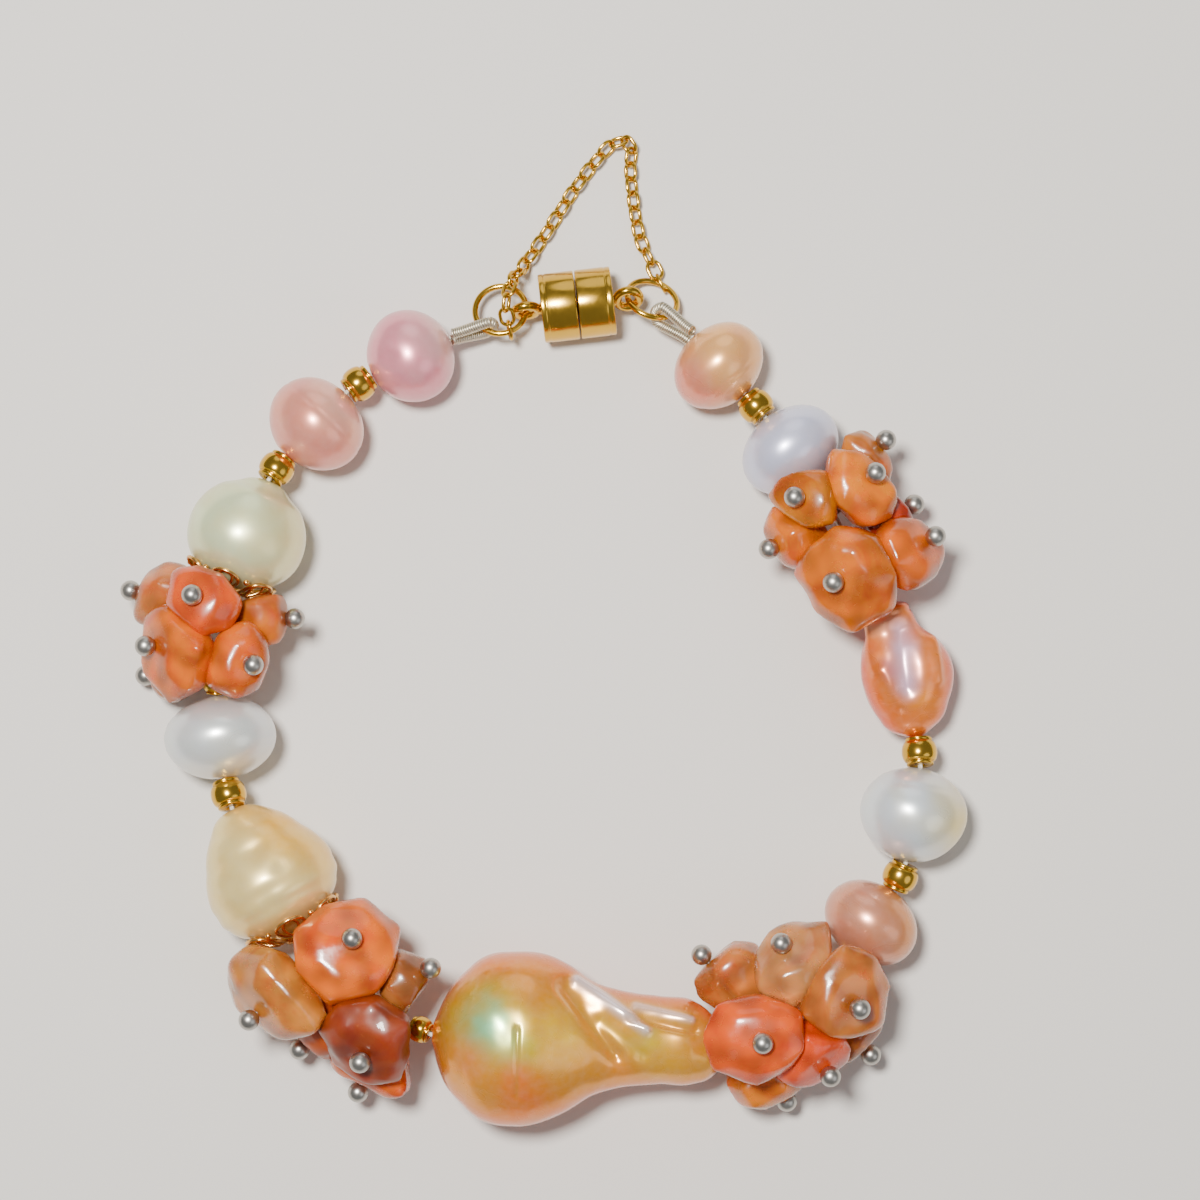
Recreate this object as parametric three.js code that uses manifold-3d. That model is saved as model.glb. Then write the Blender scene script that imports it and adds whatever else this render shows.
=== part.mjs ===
// Pearl and carnelian bracelet, closed on its barrel clasp and lying flat.
// Millimetres, +Z up. The surface that it lies on is the plane Z = 0.
import * as THREE from 'three';
import { mergeVertices } from 'three/addons/utils/BufferGeometryUtils.js';
import Module from 'manifold-3d';

const wasm = await Module();
wasm.setup();

// Driving dimensions: pearls
const PEARL_SIZE = 9.0; // the diameter that the shares in PEARLS belong to
const PEARL_HEIGHT = 0.96; // a pearl lies on its flatter side: its height as a share of its width
const PEARL_BORE = 0.9;
const TAPER_SWELL = 0.12; // how much a tapered pearl's belly widens, as a share of its taper
const LARGE_BAROQUE_LENGTH = 25.6;
const LARGE_BAROQUE_WIDTH = 15.1;
const SMALL_BAROQUE_LENGTH = 12.1;
const SMALL_BAROQUE_WIDTH = 8.1;

// Driving dimensions: gold beads and caps
const SPACER_DIAMETER = 3.1;
const SPACER_LENGTH = 2.4;
const TIP_BEAD_DIAMETER = 2.3;
const TIP_BEAD_LENGTH = 1.8;
const COLLAR_SHARE = 0.76; // width of a gold bead's end collar as a share of the bead
const CAP_DIAMETER = 9.0;
const CAP_WIRE = 0.55;
const CAP_HUB_DIAMETER = 2.9;
const CAP_HUB_LENGTH = 0.6;
const CAP_PETALS = 6;
const CAP_CHAMFER = 0.2;
const PETAL_SHARE = 0.66; // half the width of a petal as a share of half its sector

// Driving dimensions: stone clusters
const CHIP_SIZE = 8.0; // the length that the shares in CHIPS belong to
const CHIP_CLEARANCE = 0.25;
const SECTION_SPHERE = 0.97; // radius of the sphere that stands for a section of a pearl
const PIN_WIRE = 0.5;
const PIN_BALL = 1.8;
const PIN_CLEARANCE = 0.14; // between a headpin and the drill hole of its stone
const PIN_LOOP_DIAMETER = 2.3;
const LOOPS_PER_PIN = 0.6; // the loops on the thread are worked as a stack of this many rounds
const LOOP_WAIST = 0.45; // depth of the groove between two rounds, in pin wires
const KNOB_SHARES = [0.05, 0.07]; // how much two and three knobs swell a stone's outline
const CLUSTER_HEIGHT = 5.0; // height of the thread where it carries stones

// Driving dimensions: thread and fastening
const THREAD = 0.45;
const STRING_GAP = 0.22; // play between neighbours on the thread
const GIMP_DIAMETER = 1.0;
const GIMP_LENGTH = 3.0;
const GIMP_BELLY = { at: 0.35, out: 1.05 }; // where its legs stand widest apart, as shares
const RING_DIAMETER = 5.1;
const RING_WIRE = 0.55;
const CLASP_DIAMETER = 6.1;
const CLASP_LENGTH = 6.4;
const CLASP_SEAM = 0.12;
const CLASP_CHAMFER = 0.15;
const EYE_DIAMETER = 2.7;
const EYE_WIRE = 0.7;
const EYE_NECK = 0.35;
const NECK_SINK = 0.3; // how deep the neck of an eye is let into the clasp
const LINK_WIRE = 0.27;
const LINK_WIDTH = 1.5;
const LINK_PITCH = 1.34;
const LINK_BITE = 0.07; // how far neighbouring links press into each other
const RUNNING_CLEARANCE = 0.2; // round the ring wire inside gimp and chain
const LINK_LEAD = 1.2; // how far the chain leaves its ring straight, in links
const TURNING_LINKS = 4; // links over which the chain turns from its ring to how it lies
const LONGEST_SLOPE = 0.28; // how steeply the string climbs between big and small beads

// Mesh fineness
const PEARL_SIDES = 12;
const PEARL_ROWS = 6;
const BAROQUE_SIDES = 14;
const BEAD_SIDES = 10;
const CHIP_SIDES = 8;
const CLASP_SIDES = 14;
const BALL_SIDES = 8;
const BALL_ROWS = 4;
const LINK_STEPS = 10;
const EYE_STEPS = 10;
const RING_STEPS = 16;
const GIMP_STEPS = 14;
const NECK_SIDES = 8;
const PETAL_STEPS = 8;
const WIRE_SIDES = 6;
const FINE_WIRE_SIDES = 5;
const ROUTE_STEPS = 1500;
const CHAIN_STEPS = 800;
const HALVINGS = 30; // rounds of halving in which a place on the route is found
const FARTHEST_SPANS = 1.6; // a joint is looked for no farther on than this many times its span
const FARTHEST_SHARE = 0.45; // and no farther on than this share of the route

// The centre line of the closed bracelet seen from above, starting at the left ring
// and running down the left side. It is scaled to the length of what is strung on it.
const ROUTE = [
  [-6.0, 25.4], [-13.0, 22.8], [-21.0, 16.6], [-26.6, 7.2], [-28.6, -3.6], [-28.1, -12.6],
  [-24.4, -22.2], [-18.2, -29.8], [-10.8, -34.8], [-1.8, -36.8], [8.0, -37.6], [16.4, -35.6],
  [24.4, -29.2], [29.4, -22.6], [31.4, -14.0], [30.6, -5.0], [27.0, 4.6], [21.4, 13.4],
  [14.5, 22.0], [10.2, 26.0], [6.4, 28.0], [2.0, 27.8], [-2.4, 26.9],
];

// The route of the safety chain from the left ring to the right one: the distance from the
// middle of the clasp towards the left ring, the distance outwards, and the height
const CHAIN_ROUTE = [
  [6.3, 0.3, 4.6], [5.7, 2.2, 4.4], [4.6, 3.9, 2.0], [3.2, 5.6, 0.9], [1.2, 8.0, 0.8],
  [-0.9, 10.6, 0.8], [-3.4, 13.2, 0.8], [-4.9, 14.4, 0.9], [-6.6, 14.3, 1.0], [-6.2, 12.4, 0.8],
  [-6.1, 9.0, 0.8], [-6.3, 5.6, 0.8],
];

// Round pearls in their order on the string. long and wide are shares of PEARL_SIZE,
// taper narrows the end that comes first on the string.
const PEARLS = {
  pearl_1: { long: 0.84, wide: 0.92, taper: 0.0, color: 0xdfc0c4 },
  pearl_2: { long: 0.84, wide: 0.98, taper: -0.04, color: 0xe6b9a2 },
  pearl_3: { long: 1.08, wide: 1.16, taper: 0.06, color: 0xe9e6d4 },
  pearl_4: { long: 0.80, wide: 1.08, taper: 0.0, color: 0xeeeae6 },
  pearl_5: { long: 1.32, wide: 1.24, taper: 0.30, color: 0xe3c9a0 },
  pearl_6: { long: 0.75, wide: 0.96, taper: 0.0, color: 0xc79f92 },
  pearl_7: { long: 0.91, wide: 1.03, taper: 0.04, color: 0xe8e4de },
  pearl_8: { long: 0.78, wide: 1.02, taper: 0.0, color: 0xe4dbe2 },
  pearl_9: { long: 0.76, wide: 0.95, taper: 0.0, color: 0xe5bd9b },
};

// Sections of the two baroque pearls. at is the share of the length, wide the share of the
// greatest width, out the sideways shift as a share of that width, and tall the height of
// the section as a share of its own width.
const LARGE_BAROQUE = [
  { at: 0.00, wide: 0.10, out: 0.00, tall: 0.80 },
  { at: 0.035, wide: 0.43, out: 0.00, tall: 0.80 },
  { at: 0.12, wide: 0.80, out: 0.00, tall: 0.80 },
  { at: 0.29, wide: 1.00, out: 0.00, tall: 0.80 },
  { at: 0.45, wide: 0.84, out: -0.01, tall: 0.80 },
  { at: 0.54, wide: 0.66, out: -0.01, tall: 0.84 },
  { at: 0.62, wide: 0.57, out: -0.02, tall: 0.90 },
  { at: 0.76, wide: 0.50, out: -0.03, tall: 0.92 },
  { at: 0.88, wide: 0.47, out: -0.02, tall: 0.90 },
  { at: 0.955, wide: 0.31, out: 0.00, tall: 0.90 },
  { at: 1.00, wide: 0.10, out: 0.00, tall: 0.90 },
];
const SMALL_BAROQUE = [
  { at: 0.00, wide: 0.16, out: 0.00, tall: 0.80 },
  { at: 0.05, wide: 0.45, out: 0.00, tall: 0.80 },
  { at: 0.20, wide: 0.80, out: 0.02, tall: 0.80 },
  { at: 0.45, wide: 1.00, out: 0.05, tall: 0.78 },
  { at: 0.66, wide: 0.84, out: 0.04, tall: 0.78 },
  { at: 0.78, wide: 0.60, out: 0.01, tall: 0.80 },
  { at: 0.90, wide: 0.52, out: 0.00, tall: 0.84 },
  { at: 0.975, wide: 0.38, out: 0.00, tall: 0.84 },
  { at: 1.00, wide: 0.16, out: 0.00, tall: 0.80 },
];

// Length of each cluster on the thread
const CLUSTER_LENGTHS = { a: 6.7, b: 11.8, c: 11.0, d: 11.9 };

// The stones of each cluster. tie is the share of the cluster's length where the headpin
// hangs on the thread. around is the pin's angle from straight up, outward positive, and
// lean its angle forward along the string. reach, long, wide and thick are shares of
// CHIP_SIZE: the distance of the stone from the thread, its outline and its thickness along
// the pin. turn turns the outline about the pin.
const CHIPS = {
  a: [
    { tie: 0.24, around: 14, lean: -8, reach: 0.60, long: 0.94, wide: 0.86, thick: 0.46, turn: 10 },
    { tie: 0.66, around: 50, lean: 6, reach: 0.52, long: 1.30, wide: 1.16, thick: 0.56, turn: 0 },
    { tie: 0.24, around: 90, lean: -8, reach: 0.62, long: 0.94, wide: 0.80, thick: 0.58, turn: 20 },
    { tie: 0.76, around: -32, lean: 6, reach: 0.50, long: 0.78, wide: 0.74, thick: 0.56, turn: 0 },
    { tie: 0.28, around: -74, lean: -4, reach: 0.46, long: 0.86, wide: 0.78, thick: 0.50, turn: 30 },
    { tie: 0.84, around: 112, lean: 16, reach: 0.50, long: 0.88, wide: 0.80, thick: 0.56, turn: 0 },
  ],
  b: [
    { tie: 0.34, around: -24, lean: -4, reach: 0.56, long: 1.40, wide: 1.30, thick: 0.60, turn: 20 },
    { tie: 0.16, around: 60, lean: -6, reach: 0.72, long: 1.34, wide: 1.16, thick: 0.58, turn: 30 },
    { tie: 0.80, around: 34, lean: 8, reach: 0.58, long: 1.24, wide: 1.08, thick: 0.58, turn: -20 },
    { tie: 0.80, around: -50, lean: 6, reach: 0.48, long: 0.94, wide: 0.76, thick: 0.50, turn: 20 },
    { tie: 0.90, around: 98, lean: 10, reach: 0.54, long: 1.18, wide: 0.88, thick: 0.58, turn: 0 },
    { tie: 0.48, around: 98, lean: 0, reach: 0.56, long: 1.00, wide: 0.84, thick: 0.60, turn: 0 },
  ],
  c: [
    { tie: 0.22, around: 4, lean: -4, reach: 0.56, long: 1.34, wide: 1.02, thick: 0.56, turn: -40 },
    { tie: 0.32, around: -84, lean: -6, reach: 0.54, long: 1.10, wide: 0.90, thick: 0.66, turn: 10 },
    { tie: 0.76, around: -44, lean: 0, reach: 0.48, long: 1.16, wide: 0.96, thick: 0.58, turn: 50 },
    { tie: 0.52, around: 56, lean: -4, reach: 0.58, long: 1.08, wide: 0.96, thick: 0.56, turn: 0 },
    { tie: 0.86, around: 24, lean: 6, reach: 0.58, long: 1.22, wide: 1.06, thick: 0.54, turn: 20 },
    { tie: 0.80, around: 98, lean: 6, reach: 0.56, long: 0.98, wide: 0.80, thick: 0.62, turn: 0 },
    { tie: 0.18, around: 110, lean: -4, reach: 0.50, long: 1.00, wide: 0.80, thick: 0.58, turn: 0 },
  ],
  d: [
    { tie: 0.88, around: -24, lean: 8, reach: 0.50, long: 1.04, wide: 0.84, thick: 0.50, turn: 20 },
    { tie: 0.78, around: 34, lean: 4, reach: 0.56, long: 1.24, wide: 0.86, thick: 0.50, turn: 10 },
    { tie: 0.92, around: 72, lean: 8, reach: 0.52, long: 0.92, wide: 0.80, thick: 0.54, turn: 0 },
    { tie: 0.48, around: 92, lean: 2, reach: 0.44, long: 1.20, wide: 0.84, thick: 0.50, turn: 90 },
    { tie: 0.26, around: 54, lean: -4, reach: 0.56, long: 1.02, wide: 0.86, thick: 0.52, turn: 60 },
    { tie: 0.74, around: -66, lean: 0, reach: 0.52, long: 0.84, wide: 0.76, thick: 0.52, turn: 0 },
    { tie: 0.34, around: -28, lean: -4, reach: 0.56, long: 1.26, wide: 1.14, thick: 0.58, turn: 20 },
  ],
};
const CHIP_COLORS = {
  a: [0xd3542c, 0xd9702f, 0xd98a72, 0xdc7448, 0xa86a4c, 0xe0a07a],
  b: [0xdd7a34, 0xdf8a4e, 0x8a2f22, 0xb9785a, 0xdb7226, 0xb24a1c],
  c: [0xc9441f, 0xe2a27e, 0xe3aa86, 0xc23a22, 0xe09a6c, 0xdf9a70, 0xe0902e],
  d: [0xe09a5a, 0xdd7426, 0xb67a52, 0xc8421f, 0xdb7034, 0xdd7a3c, 0xc96f3a],
};

// How the two rings lie: pitch is the share of the ring that the string draws straight, and
// roll the angle of the ring's slack side from straight up towards the outside.
const RINGS = {
  jump_ring_left: { pitch: 0.90, roll: 106 },
  jump_ring_right: { pitch: 0.80, roll: 130 },
};

// What is on the string, in its order from the left ring round to the left end of the clasp
const STRING_ORDER = [
  'gimp_left', 'pearl_1', 'spacer_1', 'pearl_2', 'spacer_2', 'pearl_3', 'bead_cap_1', 'cluster_a',
  'tip_bead_1', 'pearl_4', 'spacer_3', 'pearl_5', 'bead_cap_2', 'cluster_b', 'tip_bead_2',
  'baroque_pearl_large', 'cluster_c', 'tip_bead_3', 'pearl_6', 'spacer_4', 'pearl_7', 'spacer_5',
  'baroque_pearl_small', 'cluster_d', 'pearl_8', 'spacer_6', 'pearl_9', 'gimp_right',
  'jump_ring_right', 'clasp', 'jump_ring_left',
];

const GOLD = { color: 0xd9a441, roughness: 0.22, metalness: 1.0 };
const SILVER = { color: 0xb4b0a8, roughness: 0.35, metalness: 1.0 };
const GIMP = { color: 0xc9b89a, roughness: 0.4, metalness: 1.0 };
const THREAD_FINISH = { color: 0xe8e2d4, roughness: 0.9, metalness: 0.0 };
const GOLDEN_PEARL = 0xb9a05c;
const COPPER_PEARL = 0xc78a5e;
const pearlFinish = (color) => ({ color, roughness: 0.25, metalness: 0.05 });
const chipFinish = (color) => ({ color, roughness: 0.18, metalness: 0.0 });

const UP = new THREE.Vector3(0, 0, 1);
const radians = THREE.MathUtils.degToRad;
const ringRadius = 0.5 * (RING_DIAMETER - RING_WIRE);
const eyeRadius = 0.5 * (EYE_DIAMETER - EYE_WIRE);
const gimpLoopRadius = 0.5 * (RING_WIRE + GIMP_DIAMETER) + RUNNING_CLEARANCE;
const eyeReach = EYE_NECK + 0.5 * EYE_DIAMETER;

// Geometry with shared corners and no other attributes, faces pointing outward
function closed(geometry) {
  const bare = geometry.clone();
  bare.deleteAttribute('normal');
  bare.deleteAttribute('uv');
  const merged = mergeVertices(bare, 1e-5);
  const at = merged.attributes.position;
  const index = Array.from(merged.index.array);
  const corner = (i) => new THREE.Vector3().fromBufferAttribute(at, i);
  const kept = [];
  let volume = 0;
  for (let i = 0; i < index.length; i += 3) {
    const [a, b, c] = index.slice(i, i + 3);
    if (a === b || b === c || c === a) continue;
    kept.push(a, b, c);
    volume += corner(a).dot(corner(b).cross(corner(c)));
  }
  if (volume < 0) kept.reverse();
  merged.setIndex(kept);
  return merged;
}

function toSolid(geometry) {
  const merged = closed(geometry);
  const mesh = new wasm.Mesh({
    numProp: 3,
    vertProperties: new Float32Array(merged.attributes.position.array),
    triVerts: new Uint32Array(merged.index.array),
  });
  return new wasm.Manifold(mesh);
}

// One body out of several overlapping ones
function fuse(geometries) {
  const joined = geometries.map(toSolid).reduce((a, b) => a.add(b));
  const mesh = joined.getMesh();
  const geometry = new THREE.BufferGeometry();
  const corners = new THREE.BufferAttribute(new Float32Array(mesh.vertProperties), 3);
  geometry.setAttribute('position', corners);
  geometry.setIndex(Array.from(mesh.triVerts));
  return geometry;
}

function moveCorners(geometry, move) {
  const at = geometry.attributes.position;
  const point = new THREE.Vector3();
  for (let i = 0; i < at.count; i += 1) {
    point.fromBufferAttribute(at, i);
    move(point);
    at.setXYZ(i, point.x, point.y, point.z);
  }
  return geometry;
}

// A body turned about the Z axis from an outline of [radius, z] pairs that closes on itself
function turned(outline, sides) {
  const points = [...outline, outline[0]].map(([radius, z]) => new THREE.Vector2(radius, z));
  const lathe = new THREE.LatheGeometry(points, sides);
  lathe.rotateX(Math.PI / 2);
  return closed(lathe);
}

// A wire ring that follows a closed path. path(angle) gives the centre and one normal.
function wireLoop(path, wire, steps, sides) {
  const torus = new THREE.TorusGeometry(1, 0.3, sides, steps);
  const at = torus.attributes.position;
  for (let row = 0; row <= sides; row += 1) {
    const spin = (2 * Math.PI * row) / sides;
    for (let step = 0; step <= steps; step += 1) {
      const angle = (2 * Math.PI * (step % steps)) / steps;
      const here = path(angle);
      const ahead = path(angle + 0.01).centre.clone().sub(path(angle - 0.01).centre).normalize();
      const across = ahead.clone().cross(here.normal).normalize();
      const lift = across.clone().cross(ahead);
      const point = here.centre.clone();
      point.addScaledVector(lift, 0.5 * wire * Math.cos(spin));
      point.addScaledVector(across, 0.5 * wire * Math.sin(spin));
      at.setXYZ(row * (steps + 1) + step, point.x, point.y, point.z);
    }
  }
  return closed(torus);
}

function wireRing(radius, wire, steps, sides) {
  const flat = (angle) => ({
    centre: new THREE.Vector3(radius * Math.cos(angle), radius * Math.sin(angle), 0),
    normal: UP,
  });
  return wireLoop(flat, wire, steps, sides);
}

// A path through given points that is straight between them
class StraightStretches extends THREE.Curve {
  constructor(points) {
    super();
    this.points = points;
  }

  getPoint(t, target = new THREE.Vector3()) {
    const stretches = this.points.length - 1;
    const place = THREE.MathUtils.clamp(t, 0, 1) * stretches;
    const start = Math.min(Math.floor(place), stretches - 1);
    return target.copy(this.points[start]).lerp(this.points[start + 1], place - start);
  }

  getUtoTmapping(u) {
    return u;
  }
}

function tube(path, diameter, steps, sides) {
  const corners = [];
  for (let i = 0; i < sides; i += 1) {
    const angle = (2 * Math.PI * i) / sides;
    corners.push(new THREE.Vector2(Math.cos(angle), Math.sin(angle)).multiplyScalar(0.5 * diameter));
  }
  const section = new THREE.Shape(corners);
  const settings = { steps, extrudePath: path, bevelEnabled: false };
  return closed(new THREE.ExtrudeGeometry(section, settings));
}

// The place of a piece between two joints of the string: X towards the inside of the
// bracelet, Y up, Z along the string, with the origin half way
function seat(start, end) {
  const along = end.clone().sub(start).normalize();
  const inward = UP.clone().cross(along).normalize();
  const up = along.clone().cross(inward);
  const matrix = new THREE.Matrix4().makeBasis(inward, up, along);
  return matrix.setPosition(start.clone().add(end).multiplyScalar(0.5));
}

// Lengths on the string and heights at which the pieces rest
function spanOf(name) {
  if (PEARLS[name]) return PEARLS[name].long * PEARL_SIZE + STRING_GAP;
  if (name.startsWith('spacer')) return SPACER_LENGTH + STRING_GAP;
  if (name.startsWith('tip_bead')) return TIP_BEAD_LENGTH + STRING_GAP;
  if (name.startsWith('bead_cap')) return CAP_HUB_LENGTH + STRING_GAP;
  if (name.startsWith('cluster')) return CLUSTER_LENGTHS[name.at(-1)];
  if (name === 'baroque_pearl_large') return LARGE_BAROQUE_LENGTH + STRING_GAP;
  if (name === 'baroque_pearl_small') return SMALL_BAROQUE_LENGTH + STRING_GAP;
  if (name.startsWith('gimp')) return GIMP_LENGTH;
  if (name.startsWith('jump_ring')) return 2 * ringRadius * RINGS[name].pitch;
  return CLASP_LENGTH + 2 * eyeReach - EYE_WIRE;
}

const widest = (sections) => sections.reduce((a, b) => (b.wide > a.wide ? b : a));

function restOf(name) {
  const pearl = PEARLS[name];
  if (pearl) {
    const belly = 1 + TAPER_SWELL * Math.abs(pearl.taper);
    return 0.5 * pearl.wide * PEARL_SIZE * PEARL_HEIGHT * belly;
  }
  if (name.startsWith('cluster')) return CLUSTER_HEIGHT;
  if (name === 'baroque_pearl_large') return 0.5 * LARGE_BAROQUE_WIDTH * widest(LARGE_BAROQUE).tall;
  if (name === 'baroque_pearl_small') return 0.5 * SMALL_BAROQUE_WIDTH * widest(SMALL_BAROQUE).tall;
  if (name === 'clasp') return 0.5 * CLASP_DIAMETER;
  return 0;
}

// The joints of the string. Each piece takes its own length as a straight chord of the
// route, and the route is scaled until the last chord ends where the first began.
function stringJoints() {
  const route = new THREE.CatmullRomCurve3(
    ROUTE.map(([x, y]) => new THREE.Vector3(x, y, 0)), true, 'centripetal',
  );
  route.arcLengthDivisions = ROUTE_STEPS;
  const whole = route.getLength();
  const spans = STRING_ORDER.map(spanOf);
  const walk = (scale) => {
    const places = [0];
    for (const span of spans) {
      const start = places.at(-1);
      const from = route.getPointAt(start % 1);
      let near = start;
      let far = start + Math.min(FARTHEST_SHARE, (FARTHEST_SPANS * span) / (scale * whole));
      for (let i = 0; i < HALVINGS; i += 1) {
        const middle = 0.5 * (near + far);
        const reached = scale * route.getPointAt(middle % 1).distanceTo(from);
        if (reached < span) near = middle;
        else far = middle;
      }
      places.push(near);
    }
    return places;
  };
  let small = 0.5;
  let large = 2.0;
  for (let i = 0; i < HALVINGS; i += 1) {
    const scale = 0.5 * (small + large);
    if (walk(scale).at(-1) > 1) small = scale;
    else large = scale;
  }
  const joints = walk(large).slice(0, -1).map((u) => route.getPointAt(u).multiplyScalar(large));
  setHeights(joints, spans);
  return joints;
}

// Every joint is as high as the larger of its two neighbours rests, and the string
// doesn't fall away from there more steeply than LONGEST_SLOPE
function setHeights(joints, spans) {
  const count = joints.length;
  joints.forEach((joint, i) => {
    joint.z = Math.max(restOf(STRING_ORDER[i]), restOf(STRING_ORDER[(i + count - 1) % count]));
  });
  for (let round = 0; round < 4; round += 1) {
    joints.forEach((joint, i) => {
      const next = joints[(i + 1) % count];
      const fall = LONGEST_SLOPE * spans[i];
      joint.z = Math.max(joint.z, next.z - fall);
      next.z = Math.max(next.z, joint.z - fall);
    });
  }
}

const joints = stringJoints();
const placeOf = (name) => STRING_ORDER.indexOf(name);
const startOf = (name) => joints[placeOf(name)];
const endOf = (name) => joints[(placeOf(name) + 1) % joints.length];
const seatOf = (name) => seat(startOf(name), endOf(name));

// Pearls
function roundPearl(row) {
  const half = 0.5 * row.long * PEARL_SIZE;
  const radius = 0.5 * row.wide * PEARL_SIZE;
  const bore = 0.5 * PEARL_BORE;
  const last = Math.acos(bore / radius);
  const outline = [];
  for (let i = 0; i <= PEARL_ROWS; i += 1) {
    const angle = last * ((2 * i) / PEARL_ROWS - 1);
    const along = Math.sin(angle) / Math.sin(last);
    const swell = 1 + row.taper * along * Math.cos(angle);
    outline.push([Math.max(bore, radius * Math.cos(angle) * swell), half * along]);
  }
  return moveCorners(turned(outline, PEARL_SIDES), (point) => {
    if (Math.hypot(point.x, point.y) > PEARL_BORE) point.y *= PEARL_HEIGHT;
  });
}

function sectionAt(sections, at) {
  const next = Math.max(1, sections.findIndex((section) => section.at >= at));
  const before = sections[next - 1];
  const after = sections[next];
  const share = (at - before.at) / (after.at - before.at);
  const mix = (key) => THREE.MathUtils.lerp(before[key], after[key], share);
  return { wide: mix('wide'), out: mix('out'), tall: mix('tall') };
}

function baroquePearl(sections, length, width) {
  const bore = 0.5 * PEARL_BORE;
  const curve = new THREE.SplineCurve(
    sections.map((section) => new THREE.Vector2(section.at * length, 0.5 * section.wide * width)),
  );
  const rows = sections.length + 3;
  const points = curve.getPoints(rows);
  const outline = points.map((point) => [Math.max(bore, point.y), point.x - 0.5 * length]);
  outline[0][0] = bore;
  outline[rows][0] = bore;
  return moveCorners(turned(outline, BAROQUE_SIDES), (point) => {
    if (Math.hypot(point.x, point.y) < PEARL_BORE) return;
    const section = sectionAt(sections, THREE.MathUtils.clamp(point.z / length + 0.5, 0, 1));
    point.y *= section.tall;
    point.x -= section.out * width;
  });
}

// Round gold bead with a small collar at each end
function goldBead(diameter, length) {
  const radius = 0.5 * diameter;
  const half = 0.5 * length;
  const bore = 0.5 * THREAD + 0.5 * RUNNING_CLEARANCE;
  const collar = COLLAR_SHARE * radius;
  const outline = [
    [bore, -half], [collar, -half], [collar, -0.7 * half], [radius, -0.25 * half],
    [radius, 0.25 * half], [collar, 0.7 * half], [collar, half], [bore, half],
  ];
  return turned(outline, BEAD_SIDES);
}

// Cap of open wire petals that hugs the end of a pearl, in the pearl's own seat
function beadCap(row) {
  const half = 0.5 * row.long * PEARL_SIZE;
  const radius = 0.5 * row.wide * PEARL_SIZE;
  const lift = 0.5 * CAP_WIRE + STRING_GAP;
  const bore = 0.5 * PEARL_BORE;
  const hubRadius = 0.5 * CAP_HUB_DIAMETER;
  const hubFrom = half + STRING_GAP;
  const hubTo = hubFrom + CAP_HUB_LENGTH;
  const hubOutline = [
    [bore, hubFrom], [hubRadius, hubFrom], [hubRadius, hubTo - CAP_CHAMFER],
    [hubRadius - CAP_CHAMFER, hubTo], [bore, hubTo],
  ];
  const hub = turned(hubOutline, BEAD_SIDES);
  const inner = Math.asin((hubRadius - 0.5 * CAP_WIRE) / radius);
  const rim = Math.asin((0.5 * (CAP_DIAMETER - CAP_WIRE) - lift) / radius);
  const middle = 0.5 * (inner + rim);
  const reach = 0.5 * (rim - inner);
  const petals = [];
  for (let i = 0; i < CAP_PETALS; i += 1) {
    const centreTurn = (2 * Math.PI * (i + 0.5)) / CAP_PETALS;
    const path = (angle) => {
      const down = middle - reach * Math.cos(angle);
      const breadth = (PETAL_SHARE * Math.PI) / CAP_PETALS;
      const turn = centreTurn + breadth * Math.sin(angle) * (1 - 0.25 * Math.cos(angle));
      const swell = 1 + row.taper * Math.cos(down) * Math.sin(down);
      const side = Math.sin(down) * (radius * swell + lift);
      const outwards = new THREE.Vector3(Math.cos(turn), Math.sin(turn), 0);
      const normal = outwards.clone().multiplyScalar(Math.sin(down)).setZ(Math.cos(down));
      const centre = outwards.multiplyScalar(side).setZ(Math.cos(down) * (half + lift));
      centre.y *= PEARL_HEIGHT;
      return { centre, normal };
    };
    petals.push(wireLoop(path, CAP_WIRE, PETAL_STEPS, FINE_WIRE_SIDES));
  }
  return fuse([hub, ...petals]);
}

// Spheres that stand for the pearls and beads next to a cluster, for its stones to keep off
function keepOffSpheres(name) {
  const start = startOf(name);
  const end = endOf(name);
  const onString = (share) => start.clone().lerp(end, share);
  const spheres = [];
  if (PEARLS[name]) {
    const capped = STRING_ORDER[placeOf(name) + 1].startsWith('bead_cap');
    const radius = 0.5 * PEARL_SIZE * Math.max(PEARLS[name].wide, PEARLS[name].long);
    spheres.push({ centre: onString(0.5), radius: radius + (capped ? CAP_WIRE + STRING_GAP : 0) });
  }
  const middle = onString(0.5);
  if (name.startsWith('tip_bead')) spheres.push({ centre: middle, radius: 0.5 * TIP_BEAD_DIAMETER });
  if (name.startsWith('bead_cap')) spheres.push({ centre: middle, radius: 0.5 * CAP_HUB_DIAMETER });
  if (name === 'baroque_pearl_large' || name === 'baroque_pearl_small') {
    const large = name === 'baroque_pearl_large';
    const sections = large ? LARGE_BAROQUE : SMALL_BAROQUE;
    const width = large ? LARGE_BAROQUE_WIDTH : SMALL_BAROQUE_WIDTH;
    for (const section of sections.slice(1, -1)) {
      const radius = 0.5 * width * section.wide * SECTION_SPHERE;
      spheres.push({ centre: onString(section.at), radius });
    }
  }
  return spheres;
}

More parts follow.
